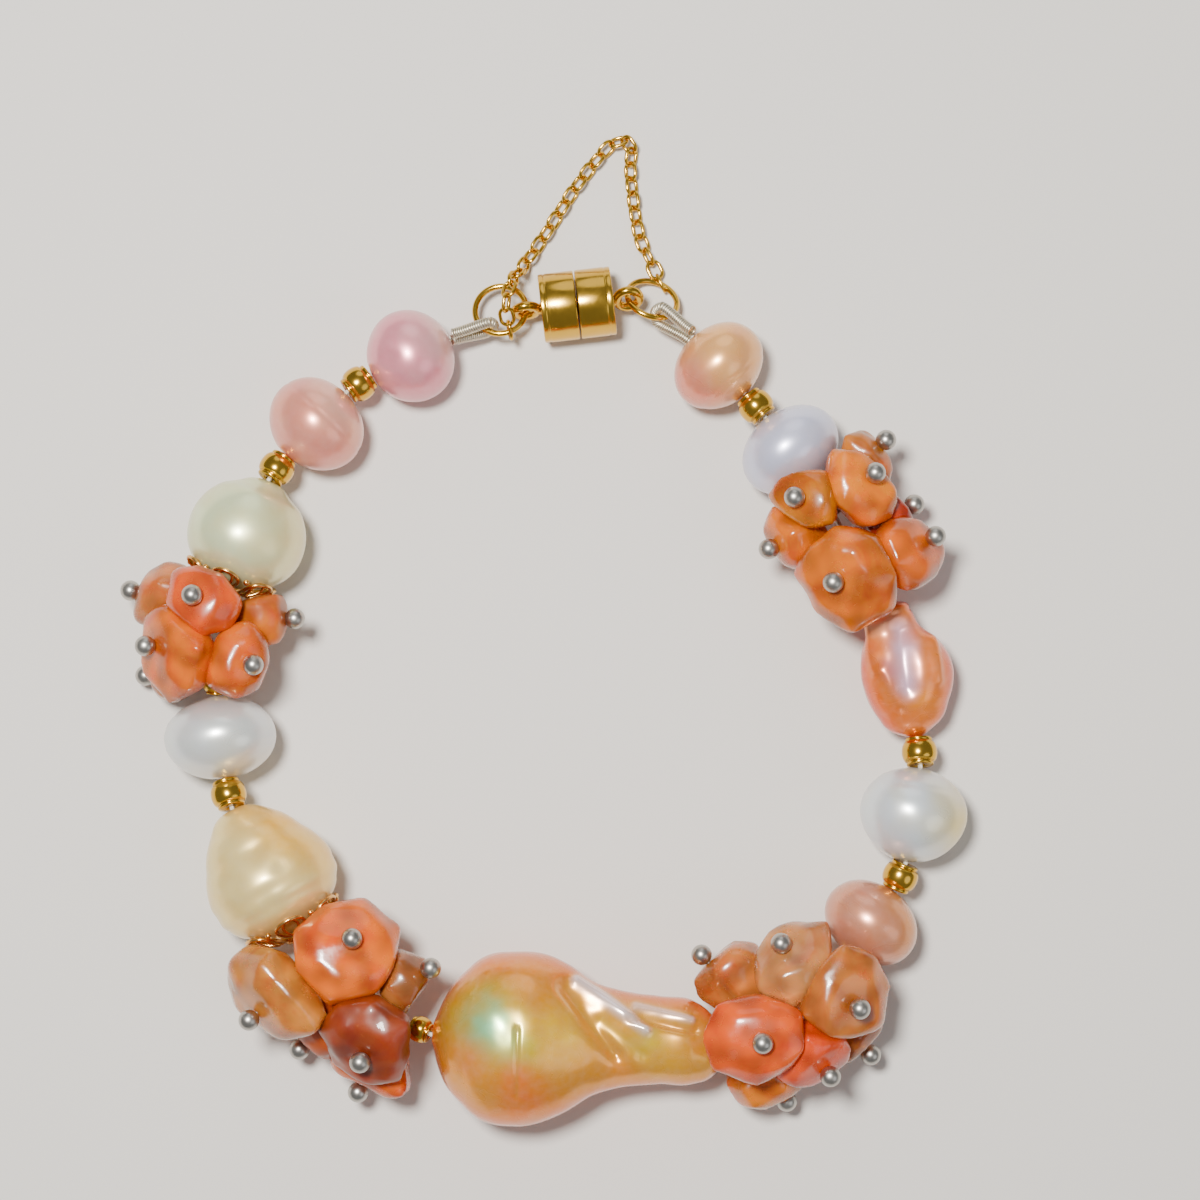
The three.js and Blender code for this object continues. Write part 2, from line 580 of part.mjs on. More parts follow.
// Where each headpin and stone of a cluster is
function pinsOf(letter) {
  const name = `cluster_${letter}`;
  const start = startOf(name);
  const end = endOf(name);
  const frame = seatOf(name);
  const inward = new THREE.Vector3();
  const up = new THREE.Vector3();
  const along = new THREE.Vector3();
  frame.extractBasis(inward, up, along);
  return CHIPS[letter].map((row) => {
    const foot = start.clone().lerp(end, row.tie);
    const aim = up.clone().multiplyScalar(Math.cos(radians(row.around)));
    aim.addScaledVector(inward, -Math.sin(radians(row.around)));
    aim.multiplyScalar(Math.cos(radians(row.lean)));
    aim.addScaledVector(along, Math.sin(radians(row.lean)));
    const side = along.clone().addScaledVector(aim, -along.dot(aim)).normalize();
    const longAxis = side.applyAxisAngle(aim, radians(row.turn));
    const wideAxis = aim.clone().cross(longAxis);
    const centre = foot.clone().addScaledVector(aim, row.reach * CHIP_SIZE);
    const halves = [row.long, row.wide, row.thick].map((share) => 0.5 * share * CHIP_SIZE);
    const headAt = row.reach * CHIP_SIZE + halves[2] + 0.5 * PIN_BALL + PIN_CLEARANCE;
    const head = foot.clone().addScaledVector(aim, headAt);
    return { foot, aim, along, longAxis, wideAxis, centre, halves, head };
  });
}

function extentTowards(pin, direction) {
  const axes = [pin.longAxis, pin.wideAxis, pin.aim];
  return Math.hypot(...axes.map((axis, i) => pin.halves[i] * axis.dot(direction)));
}

// The flat faces on which a stone stays clear of everything round it. A point keeps to a
// face when normal.dot(point) is at least the face's level.
function keepOffFaces(pins, index, spheres) {
  const pin = pins[index];
  const faces = [{ normal: UP.clone(), level: STRING_GAP }];
  const outwards = pin.centre.clone().sub(pin.foot);
  outwards.addScaledVector(pin.along, -outwards.dot(pin.along)).normalize();
  const loops = 0.5 * PIN_LOOP_DIAMETER + CHIP_CLEARANCE;
  faces.push({ normal: outwards, level: outwards.dot(pin.foot) + loops });
  const keepOffSphere = (centre, radius) => {
    const normal = pin.centre.clone().sub(centre).normalize();
    faces.push({ normal, level: normal.dot(centre) + radius });
  };
  spheres.forEach((sphere) => keepOffSphere(sphere.centre, sphere.radius + CHIP_CLEARANCE));
  pins.forEach((other, i) => {
    if (i === index) return;
    const apart = pin.centre.clone().sub(other.centre);
    const normal = apart.clone().normalize();
    const mine = extentTowards(pin, normal);
    const theirs = extentTowards(other, normal);
    const share = theirs / (mine + theirs);
    const level = normal.dot(other.centre) + apart.length() * share + 0.5 * CHIP_CLEARANCE;
    faces.push({ normal, level });
    keepOffSphere(other.head, 0.5 * PIN_BALL + 0.5 * CHIP_CLEARANCE);
    const offPin = pin.centre.clone().sub(other.foot);
    offPin.addScaledVector(other.aim, -offPin.dot(other.aim)).normalize();
    const pinLevel = offPin.dot(other.foot) + 0.5 * PIN_WIRE + 0.5 * CHIP_CLEARANCE;
    faces.push({ normal: offPin, level: pinLevel });
  });
  return faces;
}

// A drilled, tumbled stone: a rounded lens about its headpin, worn flat where it meets others
function chip(pins, index, spheres) {
  const pin = pins[index];
  const [long, wide, thick] = pin.halves;
  const bore = 0.5 * PIN_WIRE + PIN_CLEARANCE;
  const outline = [
    [bore, -1.0], [0.66, -0.9], [0.98, -0.35], [0.96, 0.4], [0.62, 0.92], [bore, 1.0],
  ];
  const stone = turned(outline, CHIP_SIDES);
  const faces = keepOffFaces(pins, index, spheres);
  const isBore = (point) => Math.hypot(point.x, point.y) < bore + 0.01;
  return moveCorners(stone, (point) => {
    const drilled = isBore(point);
    const angle = Math.atan2(point.y, point.x);
    const [twos, threes] = KNOB_SHARES;
    const knobs = threes * Math.cos(3 * angle + index) + twos * Math.cos(2 * angle - 2 * index);
    const knobbly = 1 + knobs;
    const offset = new THREE.Vector3();
    offset.addScaledVector(pin.longAxis, point.x * (drilled ? 1 : long * knobbly));
    offset.addScaledVector(pin.wideAxis, point.y * (drilled ? 1 : wide * knobbly));
    const rise = new THREE.Vector3().addScaledVector(pin.aim, point.z * thick);
    for (const face of faces) {
      const room = face.normal.dot(pin.centre) - face.level;
      if (drilled) {
        const used = -face.normal.dot(rise);
        const left = room + face.normal.dot(offset);
        if (used > left) rise.multiplyScalar(left / used);
      } else {
        const whole = offset.clone().add(rise);
        const used = -face.normal.dot(whole);
        if (used > room) {
          offset.multiplyScalar(room / used);
          rise.multiplyScalar(room / used);
        }
      }
    }
    point.copy(pin.centre).add(offset).add(rise);
  });
}

// The headpins of a cluster: their wrapped loops on the thread, straight pins and ball heads
function headpins(letter, pins) {
  const length = CLUSTER_LENGTHS[letter] - 2 * STRING_GAP;
  const bore = 0.5 * THREAD + RUNNING_CLEARANCE;
  const radius = 0.5 * PIN_LOOP_DIAMETER;
  const waist = radius - LOOP_WAIST * PIN_WIRE;
  const loops = Math.ceil(LOOPS_PER_PIN * pins.length);
  const pitch = length / loops;
  const outline = [[bore, -0.5 * length]];
  for (let i = 0; i < loops; i += 1) {
    const from = -0.5 * length + i * pitch;
    outline.push([i === 0 ? 0.5 * (bore + waist) : waist, from + 0.05 * pitch]);
    outline.push([radius, from + 0.5 * pitch]);
  }
  outline.push([0.5 * (bore + waist), 0.5 * length - 0.05 * pitch]);
  outline.push([bore, 0.5 * length]);
  const stack = turned(outline, BALL_SIDES);
  stack.applyMatrix4(seatOf(`cluster_${letter}`));
  const parts = [stack];
  for (const pin of pins) {
    const start = pin.foot.clone().addScaledVector(pin.aim, bore + 0.3 * (radius - bore));
    parts.push(tube(new THREE.LineCurve3(start, pin.head), PIN_WIRE, 1, FINE_WIRE_SIDES));
    const ball = new THREE.SphereGeometry(0.5 * PIN_BALL, BALL_SIDES, BALL_ROWS);
    ball.translate(pin.head.x, pin.head.y, pin.head.z);
    parts.push(ball);
  }
  return fuse(parts);
}

// A ring between two joints: it hangs on both with its slack side turned by roll
function ringFrame(name) {
  const start = startOf(name);
  const end = endOf(name);
  const frame = seat(start, end);
  const inward = new THREE.Vector3();
  const up = new THREE.Vector3();
  const along = new THREE.Vector3();
  frame.extractBasis(inward, up, along);
  const roll = radians(RINGS[name].roll);
  const slack = up.clone().multiplyScalar(Math.cos(roll)).addScaledVector(inward, -Math.sin(roll));
  const drawn = 0.5 * start.distanceTo(end);
  const offset = Math.sqrt(Math.max(0, ringRadius ** 2 - drawn ** 2));
  const centre = start.clone().add(end).multiplyScalar(0.5).addScaledVector(slack, offset);
  return { centre, along, slack, normal: along.clone().cross(slack) };
}

function jumpRing(name) {
  const frame = ringFrame(name);
  const ring = wireRing(ringRadius, RING_WIRE, RING_STEPS, FINE_WIRE_SIDES);
  const matrix = new THREE.Matrix4().makeBasis(frame.along, frame.slack, frame.normal);
  ring.applyMatrix4(matrix.setPosition(frame.centre));
  return ring;
}

// Loop of gimp: out of the pearl's hole, round the ring's wire and back
function gimp(pearlSide, ringSide, normal) {
  const away = ringSide.clone().sub(pearlSide);
  const length = away.length();
  away.normalize();
  const across = normal.clone().addScaledVector(away, -normal.dot(away)).normalize();
  const point = (along, aside) => {
    const place = pearlSide.clone().addScaledVector(away, along);
    return place.addScaledVector(across, aside);
  };
  const legs = 0.5 * GIMP_DIAMETER + 0.5 * RUNNING_CLEARANCE;
  const legFrom = STRING_GAP;
  const bellyAt = GIMP_BELLY.at * length;
  const bellyOut = GIMP_BELLY.out * legs;
  const points = [point(legFrom, legs), point(bellyAt, bellyOut)];
  for (const angle of [80, 45, 0, -45, -80]) {
    const turn = radians(angle);
    points.push(point(length + gimpLoopRadius * Math.cos(turn), gimpLoopRadius * Math.sin(turn)));
  }
  points.push(point(bellyAt, -bellyOut), point(legFrom, -legs));
  const path = new THREE.CatmullRomCurve3(points, false, 'centripetal');
  return tube(path, GIMP_DIAMETER, GIMP_STEPS, WIRE_SIDES);
}

// One half of the barrel clasp with its eye. side is -1 at the string's start of the clasp.
function claspHalf(side, normal) {
  const radius = 0.5 * CLASP_DIAMETER;
  const seam = 0.5 * CLASP_SEAM;
  const end = 0.5 * CLASP_LENGTH;
  const outline = [
    [0, seam], [radius - CLASP_CHAMFER, seam], [radius, seam + CLASP_CHAMFER],
    [radius, end - CLASP_CHAMFER], [radius - CLASP_CHAMFER, end], [0, end],
  ];
  const points = outline.map(([across, along]) => new THREE.Vector2(across, along));
  const barrel = new THREE.LatheGeometry(points, CLASP_SIDES);
  barrel.rotateX(Math.PI / 2);
  if (side < 0) barrel.rotateX(Math.PI);
  const frame = seatOf('clasp');
  barrel.applyMatrix4(frame);
  const along = new THREE.Vector3().setFromMatrixColumn(frame, 2).multiplyScalar(side);
  const middle = new THREE.Vector3().setFromMatrixPosition(frame);
  const eyeCentre = middle.clone().addScaledVector(along, end + EYE_NECK + eyeRadius);
  const neckFrom = middle.clone().addScaledVector(along, end - NECK_SINK);
  const neckTo = eyeCentre.clone().addScaledVector(along, -eyeRadius);
  const neck = tube(new THREE.LineCurve3(neckFrom, neckTo), EYE_WIRE, 1, NECK_SIDES);
  const across = normal.clone().addScaledVector(along, -normal.dot(along)).normalize();
  const eye = wireRing(eyeRadius, EYE_WIRE, EYE_STEPS, WIRE_SIDES);
  const basis = new THREE.Matrix4().makeBasis(along, across, along.clone().cross(across));
  eye.applyMatrix4(basis.setPosition(eyeCentre));
  return fuse([barrel, neck, eye]);
}

// One oval link between two joints of the chain, rolled about its own length
function chainLink(start, end, roll) {
  const pitch = start.distanceTo(end);
  const bend = 0.5 * (LINK_WIDTH - LINK_WIRE);
  const stretch = 0.5 * (pitch + LINK_WIRE - LINK_BITE) - bend;
  const link = wireRing(bend, LINK_WIRE, LINK_STEPS, FINE_WIRE_SIDES);
  moveCorners(link, (point) => {
    point.x += Math.sign(point.x) * stretch;
  });
  link.rotateX(roll);
  link.rotateY(Math.PI / 2);
  return link.applyMatrix4(seat(start, end));
}

// Fine cable chain from ring to ring, its links pressed together into one body. The end
// links go round the wires of the rings, square to them, and the others lie slanted.
function safetyChain() {
  const left = ringFrame('jump_ring_left');
  const right = ringFrame('jump_ring_right');
  const leftWire = left.centre.clone().addScaledVector(left.slack, -ringRadius);
  const rightWire = right.centre.clone().addScaledVector(right.slack, ringRadius);
  const frame = seatOf('clasp');
  const middle = new THREE.Vector3().setFromMatrixPosition(frame);
  const inward = new THREE.Vector3();
  const up = new THREE.Vector3();
  const along = new THREE.Vector3();
  frame.extractBasis(inward, up, along);
  const route = CHAIN_ROUTE.map(([ahead, outwards, height]) => {
    const place = middle.clone().addScaledVector(along, ahead).addScaledVector(inward, -outwards);
    return place.setZ(height);
  });
  const beyond = 0.5 * (RING_WIRE + LINK_BITE) + RUNNING_CLEARANCE;
  const onLine = (wire, next, by) => wire.clone().add(next.clone().sub(wire).setLength(by));
  const lead = LINK_LEAD * LINK_PITCH;
  const ending = (wire, next) => [onLine(wire, next, -beyond), onLine(wire, next, lead)];
  const points = [...ending(leftWire, route[0]), ...route];
  points.push(...ending(rightWire, route.at(-1)).reverse());
  const path = new THREE.CatmullRomCurve3(points, false, 'centripetal');
  path.arcLengthDivisions = CHAIN_STEPS;
  const count = Math.round(path.getLength() / LINK_PITCH);
  const places = path.getSpacedPoints(count);
  const rollOn = (ring, start, end) => {
    const matrix = seat(start, end);
    const aside = new THREE.Vector3();
    const above = new THREE.Vector3();
    const ahead = new THREE.Vector3();
    matrix.extractBasis(aside, above, ahead);
    const width = ring.along.clone().cross(ahead);
    return Math.atan2(width.dot(aside), width.dot(above));
  };
  const nearest = (roll, goal) => goal + Math.PI * Math.round((roll - goal) / Math.PI);
  const lying = (i) => radians(45 + 90 * i);
  const first = nearest(lying(0), rollOn(left, places[0], places[1]));
  const last = nearest(lying(count - 1), rollOn(right, places[count - 1], places[count]));
  const links = [];
  for (let i = 0; i < count; i += 1) {
    const fromStart = Math.min(1, i / TURNING_LINKS);
    const fromEnd = Math.min(1, (count - 1 - i) / TURNING_LINKS);
    const startRoll = THREE.MathUtils.lerp(first + radians(90 * i), lying(i), fromStart);
    const endRoll = last + radians(90 * (i + 1 - count));
    const shift = THREE.MathUtils.lerp(endRoll - lying(i), 0, fromEnd);
    links.push(chainLink(places[i], places[i + 1], startRoll + shift));
  }
  return fuse(links);
}

// The thread runs from gimp to gimp, straight through every bead
function stringingThread() {
  const first = placeOf('pearl_1');
  const last = placeOf('gimp_right');
  const points = joints.slice(first, last + 1);
  return tube(new StraightStretches(points), THREAD, points.length - 1, FINE_WIRE_SIDES);
}

const bracelet = new THREE.Group();

function add(name, geometry, finish, frame) {
  const mesh = new THREE.Mesh(geometry, new THREE.MeshStandardMaterial(finish));
  mesh.name = name;
  if (frame) mesh.applyMatrix4(frame);
  bracelet.add(mesh);
}

function buildBeads() {
  for (const name of STRING_ORDER) {
    const frame = seatOf(name);
    const pearlRow = PEARLS[name];
    if (pearlRow) add(name, roundPearl(pearlRow), pearlFinish(pearlRow.color), frame);
    if (name.startsWith('spacer')) {
      add(name, goldBead(SPACER_DIAMETER, SPACER_LENGTH), GOLD, frame);
    }
    if (name.startsWith('tip_bead')) {
      add(name, goldBead(TIP_BEAD_DIAMETER, TIP_BEAD_LENGTH), GOLD, frame);
    }
    if (name.startsWith('bead_cap')) {
      const pearl = STRING_ORDER[placeOf(name) - 1];
      add(name, beadCap(PEARLS[pearl]), GOLD, seatOf(pearl));
    }
  }
  const large = baroquePearl(LARGE_BAROQUE, LARGE_BAROQUE_LENGTH, LARGE_BAROQUE_WIDTH);
  add('baroque_pearl_large', large, pearlFinish(GOLDEN_PEARL), seatOf('baroque_pearl_large'));
  const small = baroquePearl(SMALL_BAROQUE, SMALL_BAROQUE_LENGTH, SMALL_BAROQUE_WIDTH);
  add('baroque_pearl_small', small, pearlFinish(COPPER_PEARL), seatOf('baroque_pearl_small'));
}

function buildClusters() {
  for (const letter of Object.keys(CHIPS)) {
    const pins = pinsOf(letter);
    const place = placeOf(`cluster_${letter}`);
    const near = STRING_ORDER.slice(place - 2, place + 3);
    const spheres = near.flatMap(keepOffSpheres);
    pins.forEach((pin, i) => {
      const stone = chip(pins, i, spheres);
      add(`chip_${letter}${i + 1}`, stone, chipFinish(CHIP_COLORS[letter][i]));
    });
    add(`headpins_${letter}`, headpins(letter, pins), SILVER);
  }
}

function buildFastening() {
  const left = ringFrame('jump_ring_left');
  const right = ringFrame('jump_ring_right');
  add('gimp_left', gimp(startOf('pearl_1'), startOf('gimp_left'), left.normal), GIMP);
  add('gimp_right', gimp(startOf('gimp_right'), endOf('gimp_right'), right.normal), GIMP);
  add('jump_ring_left', jumpRing('jump_ring_left'), GOLD);
  add('jump_ring_right', jumpRing('jump_ring_right'), GOLD);
  add('clasp_right_half', claspHalf(-1, right.normal), GOLD);
  add('clasp_left_half', claspHalf(1, left.normal), GOLD);
  add('safety_chain', safetyChain(), GOLD);
  add('stringing_thread', stringingThread(), THREAD_FINISH);
}

buildBeads();
buildClusters();
buildFastening();

// The origin is the middle of the bracelet, on the surface that it lies on
const reach = new THREE.Box3().setFromObject(bracelet, true);
const middle = reach.getCenter(new THREE.Vector3());
bracelet.position.set(-middle.x, -middle.y, -reach.min.z);

export default bracelet;
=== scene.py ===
# %% [markdown]
# Pearl and carnelian bracelet, closed and lying flat. The solids that come with the frame
# give every piece its place and its true size. This script gives them their fine surface:
# lustrous pearls with their own dents and rings, tumbled stones, turned gold and bent wire.
# All lengths are written in millimetres and turned into metres when a mesh is made.

import math

import bmesh
import bpy
import numpy as np
from mathutils import Matrix, Vector, noise


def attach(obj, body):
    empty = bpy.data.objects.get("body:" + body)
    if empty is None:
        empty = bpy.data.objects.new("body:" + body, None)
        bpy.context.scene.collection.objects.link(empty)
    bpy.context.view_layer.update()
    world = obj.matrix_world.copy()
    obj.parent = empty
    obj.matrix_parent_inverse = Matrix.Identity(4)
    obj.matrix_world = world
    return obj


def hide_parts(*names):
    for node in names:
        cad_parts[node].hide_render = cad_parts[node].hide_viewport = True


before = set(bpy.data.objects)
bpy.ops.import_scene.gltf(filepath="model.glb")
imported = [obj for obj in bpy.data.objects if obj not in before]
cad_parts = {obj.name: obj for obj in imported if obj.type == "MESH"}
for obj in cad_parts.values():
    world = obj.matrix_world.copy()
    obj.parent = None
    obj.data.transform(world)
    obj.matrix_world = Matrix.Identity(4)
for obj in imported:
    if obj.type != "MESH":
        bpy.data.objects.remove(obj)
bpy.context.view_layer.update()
MM = 0.001
UP = Vector((0, 0, 1))
print("solids", len(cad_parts))

# %% [markdown]
# The thread runs straight from bead to bead, so its corners gather round the joints of the
# string. Reading the joints off the thread gives each bead its seat: the origin half way
# between two joints, X towards the inside of the bracelet, Y up and Z along the string.

# %% Seats of the beads
STRUNG = [
    "pearl_1", "spacer_1", "pearl_2", "spacer_2", "pearl_3", "bead_cap_1", "cluster_a",
    "tip_bead_1", "pearl_4", "spacer_3", "pearl_5", "bead_cap_2", "cluster_b", "tip_bead_2",
    "baroque_pearl_large", "cluster_c", "tip_bead_3", "pearl_6", "spacer_4", "pearl_7",
    "spacer_5", "baroque_pearl_small", "cluster_d", "pearl_8", "spacer_6", "pearl_9",
]
THREAD = 0.45
# Corners of the thread this many thread widths apart belong to one joint
JOINT_REACH = 1.3


def vertex_rows(mesh, what):
    """The places or normals of a mesh's corners, one row each."""
    flat = np.zeros(3 * len(mesh.vertices))
    mesh.vertices.foreach_get(what, flat)
    return flat.reshape(-1, 3)


def corners(node):
    """The distinct corners of a solid, in millimetres."""
    return np.unique(np.round(vertex_rows(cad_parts[node].data, "co") / MM, 3), axis=0)


def string_joints():
    left = corners("stringing_thread")
    found = []
    while len(left):
        near = np.linalg.norm(left - left[0], axis=1) < JOINT_REACH * THREAD
        found.append(Vector(left[near].mean(axis=0)))
        left = left[~near]
    start = Vector(corners("gimp_left").mean(axis=0))
    ordered = [min(found, key=lambda joint: (joint - start).length)]
    while len(ordered) < len(found):
        rest = [joint for joint in found if joint not in ordered]
        ordered.append(min(rest, key=lambda joint: (joint - ordered[-1]).length))
    return ordered


def axes_at(place, across, along):
    """A matrix at a place, with its X across and its Z along."""
    matrix = Matrix((across, along.cross(across), along)).transposed().to_4x4()
    matrix.translation = place
    return matrix


def seat(start, end):
    along = (end - start).normalized()
    return axes_at((start + end) / 2, UP.cross(along).normalized(), along)


joints = string_joints()
ends = {name: (joints[i], joints[i + 1]) for i, name in enumerate(STRUNG)}
seats = {name: seat(*pair) for name, pair in ends.items()}
print("joints on the string", len(joints), "for", len(STRUNG), "pieces")

# %% [markdown]
# Most pieces here are turned or tubular, so one function makes a body from a grid of points
# whose rows and columns both close on themselves. A second one sweeps a round wire along
# a path. Colours are painted on the corners, and the pearl and stone finishes read them from there.

# %% Mesh helpers
RICHNESS = 1.4
# The side of a swept wire starts square to this direction, which no path here follows
ODD_WAY = (0.3, 0.2, 0.93)


def linear(code):
    """A colour written as six hex digits, as the shader counts it."""
    parts = [int(code[i:i + 2], 16) / 255 for i in (0, 2, 4)]
    return np.array([((c + 0.055) / 1.055) ** 2.4 if c > 0.04045 else c / 12.92 for c in parts])


def blended(tint, code, share):
    """A tint that goes over to a colour by a share for each corner."""
    return tint * (1 - share[:, None]) + linear(code) * share[:, None]


def smooth_step(low, high, value):
    share = np.clip((value - low) / (high - low), 0, 1)
    return share * share * (3 - 2 * share)


def in_scene(name, data):
    """A new object at the origin, with its data."""
    obj = bpy.data.objects.new(name, data)
    bpy.context.scene.collection.objects.link(obj)
    return obj


def settled(obj):
    """The object with its modifiers worked out into a plain mesh."""
    bpy.context.view_layer.update()
    scene_now = bpy.context.evaluated_depsgraph_get()
    made = bpy.data.meshes.new_from_object(obj.evaluated_get(scene_now))
    obj.modifiers.clear()
    obj.data = made
    return obj


def piece(name, points, faces, material, tint=None):
    """A finished object at the origin, from points in millimetres."""
    mesh = bpy.data.meshes.new(name)
    mesh.from_pydata((np.asarray(points) * MM).tolist(), [], faces)
    mesh.materials.append(material)
    mesh.shade_smooth()
    if tint is not None:
        paint(mesh, tint)
    mesh.validate()
    return in_scene(name, mesh)


def paint(mesh, tint, richness=RICHNESS):
    """Store a colour per corner, pushed away from grey because studio light pales it."""
    tint = np.broadcast_to(tint, (len(mesh.vertices), 3))
    grey = tint.mean(axis=1, keepdims=True)
    colors = np.ones((len(mesh.vertices), 4), np.float32)
    colors[:, :3] = np.clip(grey + richness * (tint - grey), 0.002, 1)
    layer = mesh.color_attributes.new("tint", "FLOAT_COLOR", "POINT")
    layer.data.foreach_set("color", colors.ravel())


def grid_faces(rows, columns, closed_rows=True):
    faces = []
    for i in range(rows if closed_rows else rows - 1):
        for j in range(columns):
            a, b = i * columns, ((i + 1) % rows) * columns
            k = (j + 1) % columns
            faces.append((a + j, a + k, b + k, b + j))
    return faces


def placed(matrix, points):
    turn = np.array(matrix.to_3x3())
    return np.asarray(points) @ turn.T + np.array(matrix.translation)


def full_turn(steps):
    return np.arange(steps) * 2 * math.pi / steps


def moved(matrix, body):
    """A body, given as points and faces, put where the matrix says."""
    return placed(matrix, body[0]), body[1]


def turned(outline, sides):
    """Points and faces of a body turned about Z from an outline that closes on itself."""
    angle = full_turn(sides)
    outline = np.asarray(outline, float)
    grid = np.stack([
        np.outer(outline[:, 0], np.cos(angle)),
        np.outer(outline[:, 0], np.sin(angle)),
        np.repeat(outline[:, 1:2], sides, axis=1),
    ], axis=-1)
    return grid.reshape(-1, 3), grid_faces(len(outline), sides)


def swept(path, wire, sides, closed=True):
    """Points and faces of a round wire along a path. Open ends are closed by flat caps."""
    path = np.asarray(path, float)
    count = len(path)
    if closed:
        ahead = np.roll(path, -1, axis=0) - np.roll(path, 1, axis=0)
    else:
        ahead = np.gradient(path, axis=0)
    ahead /= np.linalg.norm(ahead, axis=1)[:, None]
    side = np.cross(ahead[0], ODD_WAY)
    frames = []
    for i in range(count):
        side = side - ahead[i] * side.dot(ahead[i])
        side /= np.linalg.norm(side)
        frames.append((side, np.cross(ahead[i], side)))
    twist = 0.0
    if closed:
        last = frames[-1][0] - ahead[0] * frames[-1][0].dot(ahead[0])
        twist = math.atan2(last.dot(frames[0][1]), last.dot(frames[0][0]))
    angle = full_turn(sides)
    rings = []
    for i, (u, v) in enumerate(frames):
        spin = angle - twist * i / count
        rings.append(path[i] + 0.5 * wire * (np.outer(np.cos(spin), u) + np.outer(np.sin(spin), v)))
    faces = grid_faces(count, sides, closed_rows=closed)
    if not closed:
        faces.append(tuple(reversed(range(sides))))
        faces.append(tuple(range((count - 1) * sides, count * sides)))
    return np.concatenate(rings), faces


def together(bodies):
    """Several bodies as one list of points and one of faces."""
    points, faces = [], []
    for body_points, body_faces in bodies:
        first = sum(len(p) for p in points)
        points.append(np.asarray(body_points))
        faces += [tuple(first + i for i in face) for face in body_faces]
    return np.concatenate(points), faces


def finish_piece(obj, slot, *nodes):
    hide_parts(*nodes)
    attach(obj, "root")
    return obj


# %% [markdown]
# Finishes. Nacre is a soft, partly metallic body under a clear coat, so its highlight has a
# sharp core and a wide glow. Carnelian is agate: light enters, scatters and comes out
# orange. Gold and silver are plain metals with fine handling marks in their roughness.
# The pearl and stone finishes read the painted tint and break it up with noise at the scale of the real
# thing.

# %% Materials


def new_material(name, settings):
    material = bpy.data.materials.new(name)
    material.use_nodes = True
    shader = material.node_tree.nodes["Principled BSDF"]
    for socket, value in settings.items():
        shader.inputs[socket].default_value = value
    return material, shader


def add_node(shader, kind, inputs=None, **settings):
    node = shader.id_data.nodes.new(kind)
    for key, value in settings.items():
        setattr(node, key, value)
    for key, value in (inputs or {}).items():
        if isinstance(value, bpy.types.NodeSocket):
            shader.id_data.links.new(value, node.inputs[key])
        else:
            node.inputs[key].default_value = value
    return node


def place_of(shader):
    return add_node(shader, "ShaderNodeTexCoord").outputs["Object"]


def noise_at(shader, place, scale, detail=3.0, roughness=0.5, distortion=0.0):
    inputs = {"Vector": place, "Scale": scale, "Detail": detail, "Roughness": roughness}
    inputs["Distortion"] = distortion
    return add_node(shader, "ShaderNodeTexNoise", inputs).outputs["Fac"]


def ranged(shader, value, low, high, to_low, to_high):
    inputs = {"Value": value, 1: low, 2: high, 3: to_low, 4: to_high}
    return add_node(shader, "ShaderNodeMapRange", inputs).outputs["Result"]


def mixed(shader, share, first, second, blend="MIX"):
    inputs = {0: share, 6: first, 7: second}
    mix = add_node(shader, "ShaderNodeMix", inputs, data_type="RGBA", blend_type=blend)
    return mix.outputs[2]


def tint_of(shader):
    return add_node(shader, "ShaderNodeAttribute", attribute_name="tint").outputs["Color"]


def feed(shader, socket, output):
    shader.id_data.links.new(output, shader.inputs[socket])


def bump(shader, height, strength, distance):
    inputs = {"Height": height, "Strength": strength, "Distance": distance}
    feed(shader, "Normal", add_node(shader, "ShaderNodeBump", inputs).outputs["Normal"])


def rgba(code):
    return (*linear(code), 1.0)


def nacre(name, overtone, overtone_share, glow, rough):
    settings = {
        "Roughness": rough, "IOR": 1.56, "Metallic": 0.42, "Subsurface Weight": 0.08,
        "Subsurface Radius": (0.9 * MM, 0.7 * MM, 0.6 * MM), "Subsurface Scale": 1.0,
        "Coat Weight": 0.55, "Coat Roughness": 0.12, "Coat IOR": 1.5,
        "Sheen Weight": glow, "Sheen Roughness": 0.35,
    }
    material, shader = new_material(name, settings)
    shader.inputs["Sheen Tint"].default_value = rgba(overtone)
    place = place_of(shader)
    clouds = noise_at(shader, place, 260.0, 3.0, 0.55, 0.4)
    share = ranged(shader, clouds, 0.38, 0.68, 0.0, overtone_share)
    color = mixed(shader, share, tint_of(shader), rgba(overtone))
    fine = noise_at(shader, place, 1500.0, 4.0)
    mottled = mixed(shader, ranged(shader, fine, 0.3, 0.7, 0.0, 0.05), color, rgba("ffffff"))
    feed(shader, "Base Color", mottled)
    feed(shader, "Roughness", ranged(shader, clouds, 0.3, 0.7, rough - 0.05, rough + 0.07))
    skin = noise_at(shader, place, 700.0, 5.0, 0.6)
    bump(shader, skin, 0.06, 0.05 * MM)
    return material


def metal(name, color, rough, mark=0.08):
    settings = {"Metallic": 1.0, "Base Color": rgba(color)}
    material, shader = new_material(name, settings)
    place = place_of(shader)
    marks = noise_at(shader, place, 900.0, 4.0, 0.6, 0.3)
    feed(shader, "Roughness", ranged(shader, marks, 0.3, 0.7, rough, rough + mark))
    tone = noise_at(shader, place, 400.0, 2.0)
    dulled = tuple(0.86 * c for c in linear(color)) + (1.0,)
    color_out = mixed(shader, ranged(shader, tone, 0.4, 0.7, 0.0, 0.5), rgba(color), dulled)
    feed(shader, "Base Color", color_out)
    bump(shader, noise_at(shader, place, 2600.0, 3.0), 0.05, 0.02 * MM)
    return material


